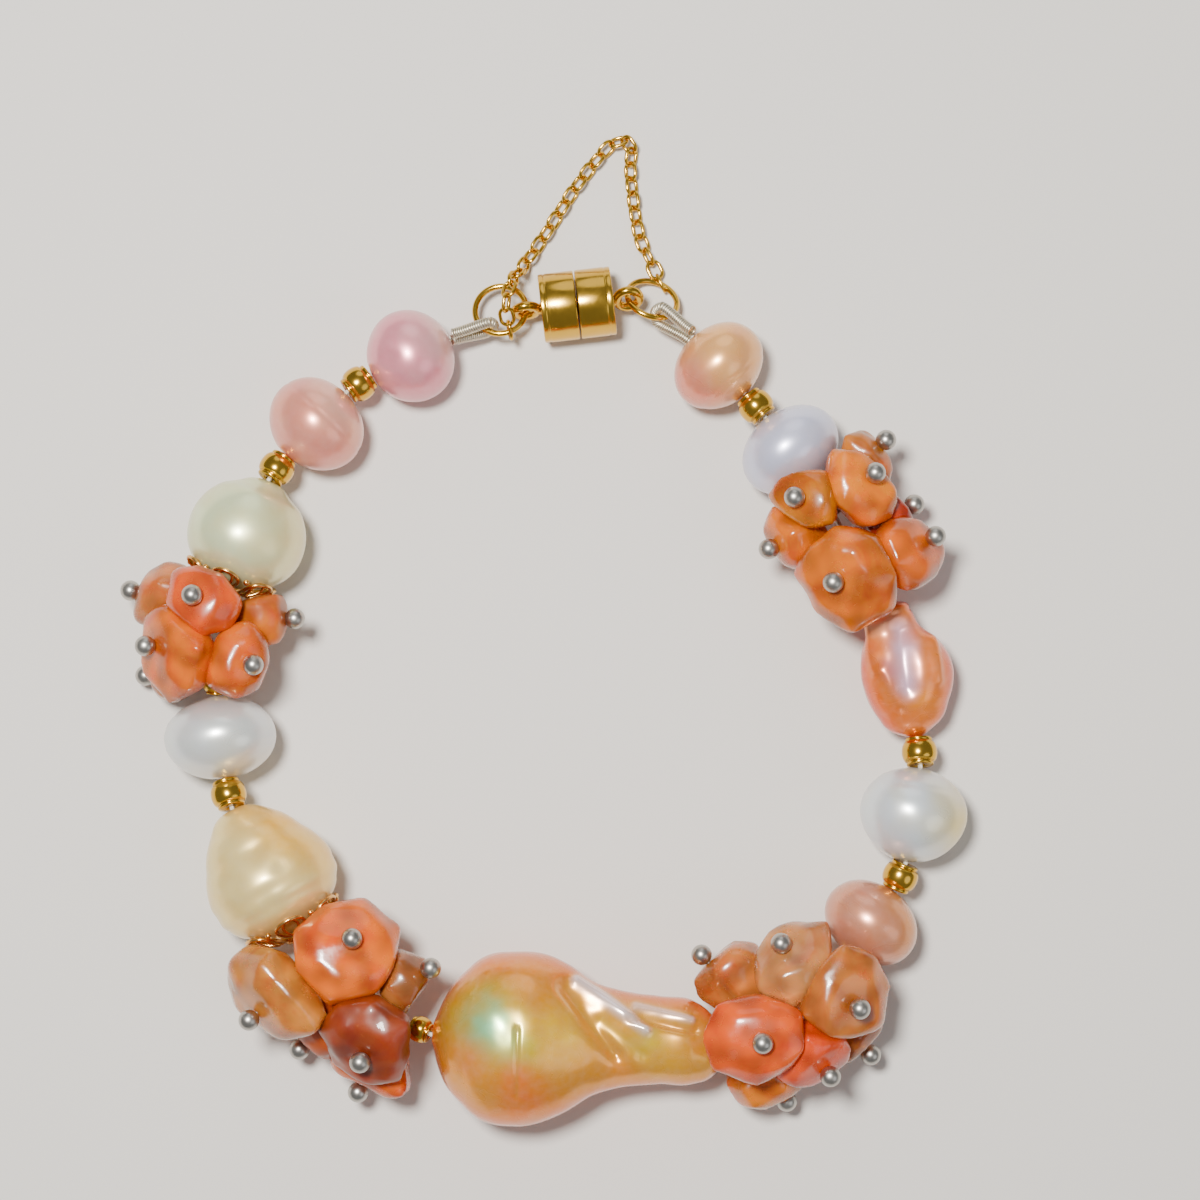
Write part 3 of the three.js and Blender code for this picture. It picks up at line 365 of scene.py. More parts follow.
def carnelian(name, clear, rough):
    """Banded translucent agate. clear is the share of light that goes straight through."""
    settings = {
        "IOR": 1.54, "Transmission Weight": clear, "Subsurface Weight": 0.35,
        "Subsurface Radius": (1.4 * MM, 0.6 * MM, 0.15 * MM), "Subsurface Scale": 1.0,
        "Coat Weight": 0.30, "Coat Roughness": 0.05, "Coat IOR": 1.5,
    }
    material, shader = new_material(name, settings)
    place = place_of(shader)
    clouds = noise_at(shader, place, 240.0, 4.0, 0.55, 1.2)
    deep = mixed(shader, 1.0, tint_of(shader), rgba("e88c38"), "MULTIPLY")
    color = mixed(shader, ranged(shader, clouds, 0.46, 0.74, 0.0, 0.75), tint_of(shader), deep)
    veins = noise_at(shader, place, 620.0, 5.0, 0.65, 2.0)
    pale = mixed(shader, ranged(shader, veins, 0.62, 0.82, 0.0, 0.25), color, rgba("f09040"))
    feed(shader, "Base Color", pale)
    worn = noise_at(shader, place, 500.0, 4.0, 0.6)
    feed(shader, "Roughness", ranged(shader, worn, 0.35, 0.7, rough, rough + 0.22))
    bump(shader, noise_at(shader, place, 900.0, 5.0, 0.6, 0.5), 0.08, 0.10 * MM)
    return material


white_nacre = nacre("white_nacre", "d8d4e4", 0.30, 0.03, 0.32)
pink_nacre = nacre("pink_nacre", "d98496", 0.26, 0.04, 0.32)
cream_nacre = nacre("cream_nacre", "d9c070", 0.30, 0.03, 0.33)
golden_nacre = nacre("golden_nacre", "cf9c1c", 0.20, 0.0, 0.24)
copper_nacre = nacre("copper_nacre", "cf7468", 0.20, 0.0, 0.28)
gold = metal("gold", "dcae40", 0.15)
filigree_gold = metal("filigree_gold", "eab56a", 0.18)
silver = metal("silver", "b9b5ae", 0.30, 0.10)
gimp_metal = metal("gimp_wire", "dcd4c0", 0.36, 0.10)
clear_stone = carnelian("clear_carnelian", 0.50, 0.12)
solid_stone = carnelian("deep_carnelian", 0.22, 0.14)
rough_stone = carnelian("rough_carnelian", 0.0, 0.30)
print("materials", len(bpy.data.materials))

# %% [markdown]
# Round pearls. Each one is an oblate or pear-shaped body of its own size with a drill hole
# along the thread. Long waves make it less than perfect, and rows of features add the ring
# grooves, dimples and nipples that freshwater pearls have. The tint goes from the body
# colour to a second tone on the side that the row names. On most pearls that tone is the
# nacre's overtone; the yellow right side of pearl_7 and the warm lower right of pearl_4 are a
# painted reflection of a warm light to the right.

# %% Round pearls
PEARL_SIZE = 9.0
PEARL_HEIGHT = 0.96
# Radius of a drill hole
BORE = 0.45
PEARL_GRID = (72, 96)
BORE_LIP = 0.02
# Unevenness fades out towards the drill hole within this many of its radii
BORE_FADE = 3
# Waves in the shape and in the side tone, which is the overtone and on pearl_7 and pearl_4 a painted
# reflection: wave length and height
PEARL_LUMPS, OVERTONE_AND_REFLECTION_WAVES = (3.4, 0.10), (2.2, 0.25)
# The side tone, overtone and painted reflection alike, starts and is whole where the surface leans this
# much towards its side
OVERTONE_AND_REFLECTION_REACH = (0.1, 1.1)
OVERTONE_AND_REFLECTION_LIFT = 0.2
# A nipple narrows the pearl as it rises to its tip
TIP_RISE, TIP_WAIST = 0.1, 1.6
# Length along the thread and width as shares of PEARL_SIZE, taper, the colours of the body
# and of the side tone, which is the overtone and on pearl_7 and pearl_4 a painted reflection of
# a warm light, the side that takes that tone, and the finish
PEARL_COLUMNS = ("long", "wide", "taper", "body", "side", "toward", "finish")
PEARL_ROWS = {
    "pearl_1": (0.84, 0.92, 0.0, "dc9ca4", "e2cdc4", (0.5, 0.3), pink_nacre),
    "pearl_2": (0.84, 0.98, -0.04, "dc9c8c", "e8c4b0", (0.6, 0.5), pink_nacre),
    "pearl_3": (1.08, 1.16, 0.06, "dce4c2", "e2d4a8", (0.7, -0.2), cream_nacre),
    # The warm lower right of pearl_4 is a painted reflection of a warm light
    "pearl_4": (0.80, 1.08, 0.0, "dee2e0", "e2dccc", (0.3, -0.8), white_nacre),
    "pearl_5": (1.32, 1.24, 0.30, "ecd8a4", "e4ac50", (0.4, 0.6), cream_nacre),
    "pearl_6": (0.75, 0.96, 0.0, "c8927c", "cc8c50", (0.7, 0.2), copper_nacre),
    # The yellow right side of pearl_7 is a painted reflection of a warm light
    "pearl_7": (0.91, 1.03, 0.04, "e0e6e8", "e6d294", (0.9, -0.1), white_nacre),
    "pearl_8": (0.78, 1.02, 0.0, "d6d8ea", "e2d2d4", (0.3, -0.6), white_nacre),
    "pearl_9": (0.76, 0.95, 0.0, "e6b484", "d68c80", (-0.7, -0.6), copper_nacre),
}
PEARLS = {name: dict(zip(PEARL_COLUMNS, row)) for name, row in PEARL_ROWS.items()}
# Grooves that run round a pearl: the place along it from -1 to 1, then width and depth
GROOVES = [
    ("pearl_2", -0.25, 0.05, 0.05), ("pearl_5", 0.30, 0.10, 0.14), ("pearl_5", 0.55, 0.07, 0.12),
    ("pearl_5", -0.35, 0.10, 0.10), ("pearl_9", -0.55, 0.05, 0.06), ("pearl_7", 0.62, 0.06, 0.05),
]
# Dimples seen from above: how far to the right of the pearl's middle and how far towards the
# clasp, as shares of its half width, then width and depth
DIMPLES = [
    ("pearl_1", -0.45, -0.15, 0.18, 0.20), ("pearl_5", -0.10, 0.35, 0.20, 0.26),
    ("pearl_5", 0.35, 0.10, 0.14, 0.20), ("pearl_5", -0.50, -0.20, 0.16, 0.20),
    ("pearl_5", 0.15, -0.45, 0.14, 0.16), ("pearl_6", 0.20, -0.30, 0.20, 0.05),
]
# Nipples: the end that has one, the share of the half length it takes, and how far it rises
NIPPLES = {"pearl_3": dict(end=-1, wide=0.30, high=0.95), "pearl_5": dict(end=-1, wide=0.40, high=0.40)}


def waves(points, size, height, seed):
    """Slow unevenness: noise with the given wave length, read at each point."""
    shift = Vector((7.3 * seed, 1.9 * seed, 4.1 * seed))
    return np.array([height * noise.noise(Vector(p) / size + shift) for p in points])


def units(directions):
    """Directions, one row each, at length 1."""
    return directions / np.maximum(np.linalg.norm(directions, axis=1), 1e-6)[:, None]


def bell(away, wide):
    """A share that is 1 in the middle and falls off smoothly within the width."""
    return np.exp(-((away / wide) ** 2))


def drilled(ring, place, sides):
    """A body turned from its radius at each place, with the drill hole through it."""
    hole = [(BORE, place[-1] - BORE_LIP), (BORE, place[0] + BORE_LIP)]
    return turned([*zip(ring, place), *hole], sides)


def clear_of_bore(points):
    away = np.hypot(points[:, 0], points[:, 1])
    return smooth_step(BORE, BORE_FADE * BORE, away)


def round_pearl(name, row, seed):
    rows, sides = PEARL_GRID
    half = 0.5 * row["long"] * PEARL_SIZE
    radius = 0.5 * row["wide"] * PEARL_SIZE
    last = math.acos(BORE / radius)
    angle = np.linspace(-last, last, rows)
    along = np.sin(angle) / math.sin(last)
    ring = radius * np.cos(angle) * (1 + row["taper"] * along * np.cos(angle))
    for pearl, at, wide, deep in GROOVES:
        if pearl == name:
            ring -= deep * bell(along - at, wide)
    place = half * along
    if name in NIPPLES:
        tip = NIPPLES[name]
        near = smooth_step(1 - tip["wide"], 1.0, tip["end"] * along)
        place += tip["end"] * tip["high"] * near * TIP_RISE
        ring -= tip["high"] * near * (1 - near) * TIP_WAIST
    points, faces = drilled(np.maximum(ring, BORE), place, sides)
    outer = np.arange(len(points)) < rows * sides
    points[outer, 1] *= PEARL_HEIGHT
    normal = units(points)
    fade = clear_of_bore(points) * outer
    points += normal * (waves(points, *PEARL_LUMPS, seed) * fade)[:, None]
    turn = np.array(seats[name].to_3x3())
    facing = normal @ turn.T
    for pearl, right, back, wide, deep in DIMPLES:
        if pearl == name:
            aside = (facing[:, 0] - right) ** 2 + (facing[:, 1] - back) ** 2
            dent = deep * np.exp(-aside / wide**2) * (facing[:, 2] > 0)
            points -= normal * (dent * fade)[:, None]
    # The side tone lies towards a direction in the scene: the overtone, and on pearl_7 and pearl_4 a
    # painted reflection of a warm light to the right
    toward = np.array([*row["toward"], OVERTONE_AND_REFLECTION_LIFT])
    share = smooth_step(*OVERTONE_AND_REFLECTION_REACH, facing @ toward)
    share = np.clip(share + waves(points, *OVERTONE_AND_REFLECTION_WAVES, seed + 20), 0, 1)
    tint = blended(linear(row["body"]), row["side"], share)
    return piece(name + "_nacre", placed(seats[name], points), faces, row["finish"], tint)


for number, (name, row) in enumerate(PEARLS.items()):
    finish_piece(round_pearl(name, row, number), "pearl", name)
print("round pearls", len(PEARLS))

# %% [markdown]
# The two baroque pearls. A short table of sections gives the body, as in the solid. The
# folds, ridges and colour patches are then laid on in plan, as strokes and spots that only
# the upper side takes. Most of them are the nacre's own colour; the near-white tints on the
# large pearl's raised ridges and the pale lavender in the small pearl's hollow are painted
# highlights, and the dark tints in the large pearl's thin grooves are painted shade. The
# sides take a darker rim colour, the nacre's edge tone with painted shade where the sides
# turn from the light above.

# %% Baroque pearls
# Each section: its place from 0 to 1, then the width there as a share of the greatest, the
# shift outwards as a share of the width, and the height for each millimetre of width
PLACE, WIDE, OUT, TALL = range(4)
LARGE_SECTIONS = np.array([
    (0.00, 0.10, 0.00, 0.80), (0.035, 0.43, 0.00, 0.80), (0.12, 0.80, 0.00, 0.80),
    (0.29, 1.00, 0.00, 0.80), (0.45, 0.84, -0.01, 0.80), (0.54, 0.66, -0.01, 0.84),
    (0.62, 0.57, -0.02, 0.90), (0.76, 0.50, -0.03, 0.92), (0.88, 0.47, -0.02, 0.90),
    (0.955, 0.31, 0.00, 0.90), (1.00, 0.10, 0.00, 0.90),
])
SMALL_SECTIONS = np.array([
    (0.00, 0.16, 0.00, 0.80), (0.05, 0.45, 0.00, 0.80), (0.20, 0.80, 0.02, 0.80),
    (0.45, 1.00, 0.05, 0.78), (0.66, 0.84, 0.04, 0.78), (0.78, 0.60, 0.01, 0.80),
    (0.90, 0.52, 0.00, 0.84), (0.975, 0.38, 0.00, 0.84), (1.00, 0.16, 0.00, 0.80),
])
# Strokes in plan: from one point to another, the width, how far they lift the surface or,
# where that is negative, cut into it, and a tint with its share
LARGE_STROKES = [
    # The near-white ridges from (3.0, -31.3) and (8.0, -33.4) are painted highlights; the dark tints in
    # the grooves from (-2.0, -35.0) and (7.6, -34.2) are painted shade
    ((-2.0, -35.0), (-2.1, -40.8), 0.18, -0.24, "b09048", 0.4),
    ((2.1, -31.4), (6.4, -37.4), 0.75, -0.75, "c79a48", 0.5),
    ((3.0, -31.3), (8.8, -35.2), 0.50, 0.55, "efe4e8", 0.9),
    ((5.2, -34.4), (8.6, -37.4), 0.60, -0.30, "d9c48a", 0.4),
    ((8.0, -33.4), (12.8, -34.5), 0.34, 0.28, "f0d9d6", 0.8),
    ((7.6, -34.2), (13.2, -35.4), 0.36, -0.30, "c48a4a", 0.4),
]
# Colour patches: the middle in plan, the width, and a tint with its share
LARGE_SPOTS = [
    ((-4.4, -34.6), 2.6, "86c8a0", 0.95), ((-2.2, -36.8), 1.9, "c0d488", 0.8),
    ((-2.2, -39.2), 1.8, "ec8c70", 0.85), ((-6.4, -38.0), 2.0, "e89c74", 0.85),
    ((-1.4, -41.4), 2.2, "dc7c44", 0.8), ((1.6, -35.4), 2.2, "e4bc1c", 0.9),
    ((-1.0, -31.0), 2.0, "d49020", 0.7), ((6.7, -38.8), 1.1, "ec9c64", 0.8),
    ((10.5, -37.6), 2.2, "d8a818", 0.8), ((14.4, -38.0), 1.8, "cf9c20", 0.8),
    ((9.0, -36.0), 1.2, "d8cc80", 0.6),
]
SMALL_STROKES = [
    ((27.9, -0.6), (29.0, -4.6), 0.55, 0.25, "c4703c", 0.6),
    # The pale lavender in this hollow is the nacre's iridescence with a painted highlight on it
    ((31.2, -1.0), (31.6, -6.0), 1.10, -0.55, "e9cfe0", 0.8),
    ((33.9, -1.6), (34.3, -5.4), 0.50, 0.30, "d98a4c", 0.8),
    ((29.6, -4.4), (31.0, -7.4), 0.60, 0.20, "b86a3a", 0.5),
]
SMALL_SPOTS = [
    # The pale lavender spot at (31.4, -2.6) carries the same painted highlight
    ((31.4, -2.6), 1.0, "e0c8dc", 0.9), ((31.6, -5.6), 1.0, "d8a0b0", 0.7),
    ((30.2, -4.4), 1.0, "b878a0", 0.6), ((33.2, -7.2), 1.2, "ef9a4c", 0.8),
    ((28.6, 0.0), 1.5, "ecc0a4", 0.9),
]
BAROQUE_GRID = (200, 144)
# Waves in the surface and in the colour patches: wave length and height
BAROQUE_LUMPS, BAROQUE_SKIN, SPOT_WAVES = (4.0, 0.16), (1.3, 0.03), (1.1, 0.5)
# How much the place along the string counts in the direction that the surface faces
END_LEAN = 0.2
# Folds and patches are whole where the surface faces up this much, and the darker rim colour,
# the nacre's edge tone with painted shade on the sides, grows from the first of these to the second
UPPER_SIDE = 0.45
RIM_REACH = (0.72, 0.18)


def section_values(sections, column, at):
    """A smooth curve through a column of the table."""
    places, values = sections[:, PLACE], sections[:, column]
    slope = np.gradient(values, places)
    index = np.clip(np.searchsorted(places, at) - 1, 0, len(places) - 2)
    gap = places[index + 1] - places[index]
    t = (at - places[index]) / gap
    return (
        (2 * t**3 - 3 * t**2 + 1) * values[index] + (t**3 - 2 * t**2 + t) * gap * slope[index]
        + (3 * t**2 - 2 * t**3) * values[index + 1] + (t**3 - t**2) * gap * slope[index + 1]
    )


def baroque(name, sections, length, width, strokes, spots, body, rim, finish, seed):
    rows, sides = BAROQUE_GRID
    at = 0.5 - 0.5 * np.cos(np.linspace(0, math.pi, rows))
    ring = np.maximum(0.5 * width * section_values(sections, WIDE, at), BORE)
    ring[0] = ring[-1] = BORE
    points, faces = drilled(ring, (at - 0.5) * length, sides)
    outer = np.hypot(points[:, 0], points[:, 1]) > BORE + 0.5 * BORE_LIP
    share = np.clip(points[:, 2] / length + 0.5, 0, 1)
    points[:, 1] *= np.where(outer, section_values(sections, TALL, share), 1)
    points[:, 0] -= np.where(outer, section_values(sections, OUT, share) * width, 0)
    lump = waves(points, *BAROQUE_LUMPS, seed) + waves(points, *BAROQUE_SKIN, seed + 5)
    radial = units(points * np.array([1, 1, END_LEAN]))
    fade = clear_of_bore(points) * outer
    points += radial * (lump * fade)[:, None]
    world = placed(seats[name], points)
    facing = radial @ np.array(seats[name].to_3x3()).T
    above = smooth_step(0.0, UPPER_SIDE, facing[:, 2])
    # The sides take the darker rim colour: the nacre's edge tone with painted shade where the surface
    # turns from the light above
    tint = blended(linear(body), rim, smooth_step(*RIM_REACH, facing[:, 2]))
    for middle, wide, patch, most in spots:
        away = np.linalg.norm(world[:, :2] - np.array(middle), axis=1)
        share = most * bell(away, wide) * above
        share = np.clip(share * (1 + waves(world, *SPOT_WAVES, seed + 9)), 0, 1)
        tint = blended(tint, patch, share)
    # Strokes lift or cut the surface; the near-white tints on raised ridges are painted highlights and
    # the dark tints in thin grooves painted shade
    for first, last, wide, rise, patch, most in strokes:
        start, line = np.array(first), np.array(last) - np.array(first)
        t = np.clip((world[:, :2] - start) @ line / line.dot(line), 0, 1)
        away = np.linalg.norm(world[:, :2] - start - np.outer(t, line), axis=1)
        near = bell(away, wide) * above
        world += facing * (rise * near * fade)[:, None]
        tint = blended(tint, patch, np.clip(most * near, 0, 1))
    return piece(name + "_nacre", world, faces, finish, tint)


BAROQUES = {
    "baroque_pearl_large": dict(
        sections=LARGE_SECTIONS, length=25.6, width=15.1, strokes=LARGE_STROKES, spots=LARGE_SPOTS,
        body="cc9020", rim="d4780c", finish=golden_nacre, seed=31,
    ),
    "baroque_pearl_small": dict(
        sections=SMALL_SECTIONS, length=12.1, width=8.1, strokes=SMALL_STROKES, spots=SMALL_SPOTS,
        body="dc8444", rim="cc6014", finish=copper_nacre, seed=37,
    ),
}
for name, row in BAROQUES.items():
    made = finish_piece(baroque(name, **row), "baroque_pearl", name)
    print(name, "corners", len(made.data.vertices))

# %% [markdown]
# Gold beads are turned from an outline with a full belly and a narrow flat collar at each
# end, as drawn seamless spacers have.

# %% Gold beads
COLLAR_SHARE = 0.76
BEAD_PLAY = 0.1
BEAD_EDGE = 0.05
# The belly: its reach and where its outline stops, as shares of the bead's half length, the
# height of its foot as a share of the collar's, and the steps of its outline
BELLY_REACH, BELLY_STOP, BELLY_FOOT, BELLY_STEPS = 0.75, 0.74, 0.97, 21
BEADS = {"spacer": dict(diameter=3.1, length=2.4), "tip_bead": dict(diameter=2.3, length=1.8)}


def gold_bead(name, diameter, length):
    radius, half = 0.5 * diameter, 0.5 * length
    bore = 0.5 * THREAD + BEAD_PLAY
    collar = COLLAR_SHARE * radius
    low = BELLY_FOOT * collar
    belly = np.linspace(-BELLY_STOP * half, BELLY_STOP * half, BELLY_STEPS)
    swell = low + (radius - low) * np.sqrt(1 - (belly / (BELLY_REACH * half)) ** 2)
    foot = [
        (bore, half - BEAD_EDGE), (bore + BEAD_EDGE, half), (collar - BEAD_EDGE, half),
        (collar, half - 0.8 * BEAD_EDGE), (collar, 0.78 * half), (0.95 * collar, 0.76 * half),
    ]
    outline = [(x, -z) for x, z in foot] + [*zip(swell, belly)] + foot[::-1]
    return piece(name + "_turned", *moved(seats[name], turned(outline, sides=48)), gold)


for name in STRUNG:
    kind = name.rsplit("_", 1)[0]
    if kind in BEADS:
        finish_piece(gold_bead(name, **BEADS[kind]), "gold", name)
print("gold beads", sum(name.rsplit("_", 1)[0] in BEADS for name in STRUNG))

# %% [markdown]
# Geometry Nodes set out whatever repeats: one small tree puts a copy of a piece on every
# point of a mesh, turned by the point's own attribute, realizes the copies and gives them
# their material. It makes the headpin balls and wraps, the petals of the caps, the fine
# coils of the gimp and the links of the safety chain.

# %% A tree that sets out copies


def copies_tree():
    tree = bpy.data.node_groups.new("copies_at_places", "GeometryNodeTree")
    for name, way, kind in [
        ("Places", "INPUT", "Geometry"), ("Piece", "INPUT", "Object"),
        ("Finish", "INPUT", "Material"), ("Made", "OUTPUT", "Geometry"),
    ]:
        tree.interface.new_socket(name=name, in_out=way, socket_type="NodeSocket" + kind)
    new = tree.nodes.new
    entry, leave = new("NodeGroupInput"), new("NodeGroupOutput")
    turn = new("GeometryNodeInputNamedAttribute")
    turn.data_type = "FLOAT_VECTOR"
    turn.inputs["Name"].default_value = "turn"
    rotation = new("FunctionNodeEulerToRotation")
    info = new("GeometryNodeObjectInfo")
    copied = new("GeometryNodeInstanceOnPoints")
    real = new("GeometryNodeRealizeInstances")
    finish = new("GeometryNodeSetMaterial")
    for source, given, target, taken in [
        (turn, "Attribute", rotation, "Euler"), (entry, "Piece", info, "Object"),
        (entry, "Places", copied, "Points"), (info, "Geometry", copied, "Instance"),
        (rotation, "Rotation", copied, "Rotation"), (copied, "Instances", real, "Geometry"),
        (real, "Geometry", finish, "Geometry"), (entry, "Finish", finish, "Material"),
        (finish, "Geometry", leave, "Made"),
    ]:
        tree.links.new(source.outputs[given], target.inputs[taken])
    return tree


copies = copies_tree()


def set_out(name, body, places, material):
    """Copies of a body, given as points and faces, at places given as matrices."""
    pattern = piece(name + "_pattern", *body, material)
    mesh = bpy.data.meshes.new(name)
    mesh.from_pydata([tuple(Vector(m.translation) * MM) for m in places], [], [])
    turns = mesh.attributes.new("turn", "FLOAT_VECTOR", "POINT")
    turns.data.foreach_set("vector", [angle for m in places for angle in m.to_euler()])
    obj = in_scene(name, mesh)
    modifier = obj.modifiers.new("copies", "NODES")
    modifier.node_group = copies
    sockets = {item.name: item.identifier for item in copies.interface.items_tree}
    modifier[sockets["Piece"]] = pattern
    modifier[sockets["Finish"]] = material
    settled(obj).data.shade_smooth()
    bpy.data.objects.remove(pattern)
    return obj


def joined(name, objects):
    """Several objects as one."""
    target = objects[0]
    with bpy.context.temp_override(
        active_object=target, object=target, selected_objects=objects,
        selected_editable_objects=objects,
    ):
        bpy.ops.object.join()
    target.name = name
    target.data.name = name
    return target


def aimed(place, direction):
    """A matrix at a place with Z along the direction."""
    along = Vector(direction).normalized()
    across = UP.cross(along)
    if across.length < 1e-4:
        across = Vector((1, 0, 0)).cross(along)
    across.normalize()
    return axes_at(place, across, along)


def torus(radius, wire, steps, sides):
    angle = full_turn(steps)
    path = np.stack([radius * np.cos(angle), radius * np.sin(angle), 0 * angle], axis=1)
    return swept(path, wire, sides)


# %% [markdown]
# Bead caps. Six wire petals hug the end of the pearl from a small hub, and a granule sits
# where each petal meets the next, so that the light passes through the lace between them.

# %% Bead caps
CAP_DIAMETER = 9.0
CAP_WIRE = 0.55
CAP_HUB = 2.9
CAP_HUB_LENGTH = 0.6
CAP_PETALS = 6
PETAL_SHARE = 0.66
# How much a petal narrows towards the hub, and the wires of its outer and inner loop
PETAL_TAPER = 0.25
PETAL_WIRES = (0.62 * CAP_WIRE, 0.5 * CAP_WIRE)
INNER_PETAL = 0.52
PETAL_STEPS = 40
GRAIN_OUT, GRAIN_LIFT = 0.9, 0.35
CAP_GAP = 0.22


def bead_cap(name, pearl):
    row = PEARLS[pearl]
    half, radius = 0.5 * row["long"] * PEARL_SIZE, 0.5 * row["wide"] * PEARL_SIZE
    lift = 0.5 * CAP_WIRE + CAP_GAP
    hub_radius = 0.5 * CAP_HUB
    inner = math.asin((hub_radius - 0.5 * CAP_WIRE) / radius)
    rim = math.asin((0.5 * (CAP_DIAMETER - CAP_WIRE) - lift) / radius)
    middle, reach = 0.5 * (inner + rim), 0.5 * (rim - inner)
    angle = full_turn(PETAL_STEPS)
    down = middle - reach * np.cos(angle)
    breadth = PETAL_SHARE * math.pi / CAP_PETALS
    turn = breadth * np.sin(angle) * (1 - PETAL_TAPER * np.cos(angle))
    aside = np.sin(down) * (radius * (1 + row["taper"] * np.cos(down) * np.sin(down)) + lift)
    path = np.stack([aside * np.cos(turn), aside * np.sin(turn), np.cos(down) * (half + lift)], axis=1)
    petal = swept(path, PETAL_WIRES[0], sides=8)
    inner_path = np.stack([
        (aside - aside.mean()) * INNER_PETAL * np.cos(turn) + aside.mean(),
        INNER_PETAL * aside * np.sin(turn), path[:, 2] + 0.02,
    ], axis=1)
    inner_petal = swept(inner_path, PETAL_WIRES[1], sides=8)
    ball_points, ball_faces = ball(0.5 * CAP_WIRE, sides=10)
    out, between = aside.max() * GRAIN_OUT, math.pi / CAP_PETALS
    at = [out * math.cos(between), out * math.sin(between), float(path[:, 2].min()) + GRAIN_LIFT]
    body = together([petal, inner_petal, (ball_points + np.array(at), ball_faces)])
    places = []
    for i in range(CAP_PETALS):
        turned_by = Matrix.Rotation(2 * math.pi * (i + 0.5) / CAP_PETALS, 4, "Z")
        places.append(seats[pearl] @ turned_by)
    petals = set_out(name + "_petals", body, places, filigree_gold)
    top = half + CAP_GAP
    outline = [(BORE, top), (hub_radius, top), (hub_radius + 0.06, top + 0.12),
               (hub_radius - 0.05, top + CAP_HUB_LENGTH - 0.2),
               (hub_radius - 0.25, top + CAP_HUB_LENGTH), (BORE, top + CAP_HUB_LENGTH)]
    hub = piece(name + "_hub", *moved(seats[pearl], turned(outline, sides=40)), filigree_gold)
    return joined(name + "_filigree", [petals, hub])


def ball(radius, sides):
    rows = sides // 2 + 1
    angle = np.linspace(-0.5 * math.pi, 0.5 * math.pi, rows)[1:-1]
    ring = [(radius * math.cos(a), radius * math.sin(a)) for a in angle]
    points, _ = turned(ring, sides)
    faces = grid_faces(len(ring), sides, closed_rows=False)
    points = np.concatenate([points, [[0, 0, -radius], [0, 0, radius]]])
    low, high, last = len(points) - 2, len(points) - 1, (len(ring) - 1) * sides
    for j in range(sides):
        k = (j + 1) % sides
        faces.append((low, k, j))
        faces.append((high, last + j, last + k))
    return points, faces


for name, pearl in (("bead_cap_1", "pearl_3"), ("bead_cap_2", "pearl_5")):
    finish_piece(bead_cap(name, pearl), "gold", name)

# %% [markdown]
# Stones. Each chip starts as the lump that its solid's corners span. It is cut into small
# cells, softened as a tumbler rounds a stone, and then worn by noise: broad facets first,
# dents and small creases after, deeper on the rough stones. Tints go from peach to deep red.

# %% Carnelian chips
CHIP_TINTS = {
    "a": ["e86c08", "f08408", "dc8c58", "f08008", "c87434", "ec9850"],
    "b": ["f88400", "f8ac64", "8c4018", "c88454", "e87804", "b4580c"],
    "c": ["f07004", "f0a064", "f8b47c", "ec6404", "f4a060", "e08848", "ee9020"],
    "d": ["f8a028", "fc9404", "c87c38", "cc5004", "ec7c08", "f08808", "e88410"],
}
CLEAR_CHIPS = ["chip_b2", "chip_b4", "chip_c2", "chip_c3", "chip_c5", "chip_c6", "chip_a6", "chip_d1"]
ROUGH_CHIPS = ["chip_b3", "chip_b6", "chip_a5", "chip_d3"]
CHIP_RICHNESS = 1.2
FIRST_CHIP_SEED = 40
CHIP_SWELL = 0.34
CHIP_VOXEL = 0.30
CHIP_SOFTENING = (0.6, 16)
# Wear by noise, as wave length and height, and how much more of it the rough stones take
FACETS, DENTS, CREASES = (3.8, 0.42), (1.5, 0.015), (2.6, 0.04)
ROUGH_WEAR, DENT_POWER, CREASE_POWER = 2.2, 2.5, 1.5
# Colour clouds, and the shares of the tint that the darkest and the lightest of them take
CLOUDS = (1.7, 1.1)
DARK_SHARE, LIGHT_SHARE = 0.52, 0.98


def pebble(name):
    """The solid's outline as one convex lump, rounded as tumbling rounds a chip."""
    shape = bmesh.new()
    for point in corners(name):
        shape.verts.new(point * MM)
    hull = bmesh.ops.convex_hull(shape, input=shape.verts)
    spare = {*hull["geom_interior"], *hull["geom_unused"]}
    spare = [item for item in spare if isinstance(item, bmesh.types.BMVert)]
    bmesh.ops.delete(shape, geom=spare, context="VERTS")
    bmesh.ops.recalc_face_normals(shape, faces=shape.faces)
    mesh = bpy.data.meshes.new(name + "_stone")
    shape.to_mesh(mesh)
    shape.free()
    obj = in_scene(name + "_stone", mesh)
    swell = obj.modifiers.new("swell", "DISPLACE")
    swell.strength, swell.mid_level = CHIP_SWELL * MM, 0.0
    cells = obj.modifiers.new("cells", "REMESH")
    cells.mode, cells.voxel_size = "VOXEL", CHIP_VOXEL * MM
    soften = obj.modifiers.new("soften", "SMOOTH")
    soften.factor, soften.iterations = CHIP_SOFTENING
    fine = obj.modifiers.new("fine", "SUBSURF")
    fine.levels = fine.render_levels = 1
    return settled(obj)


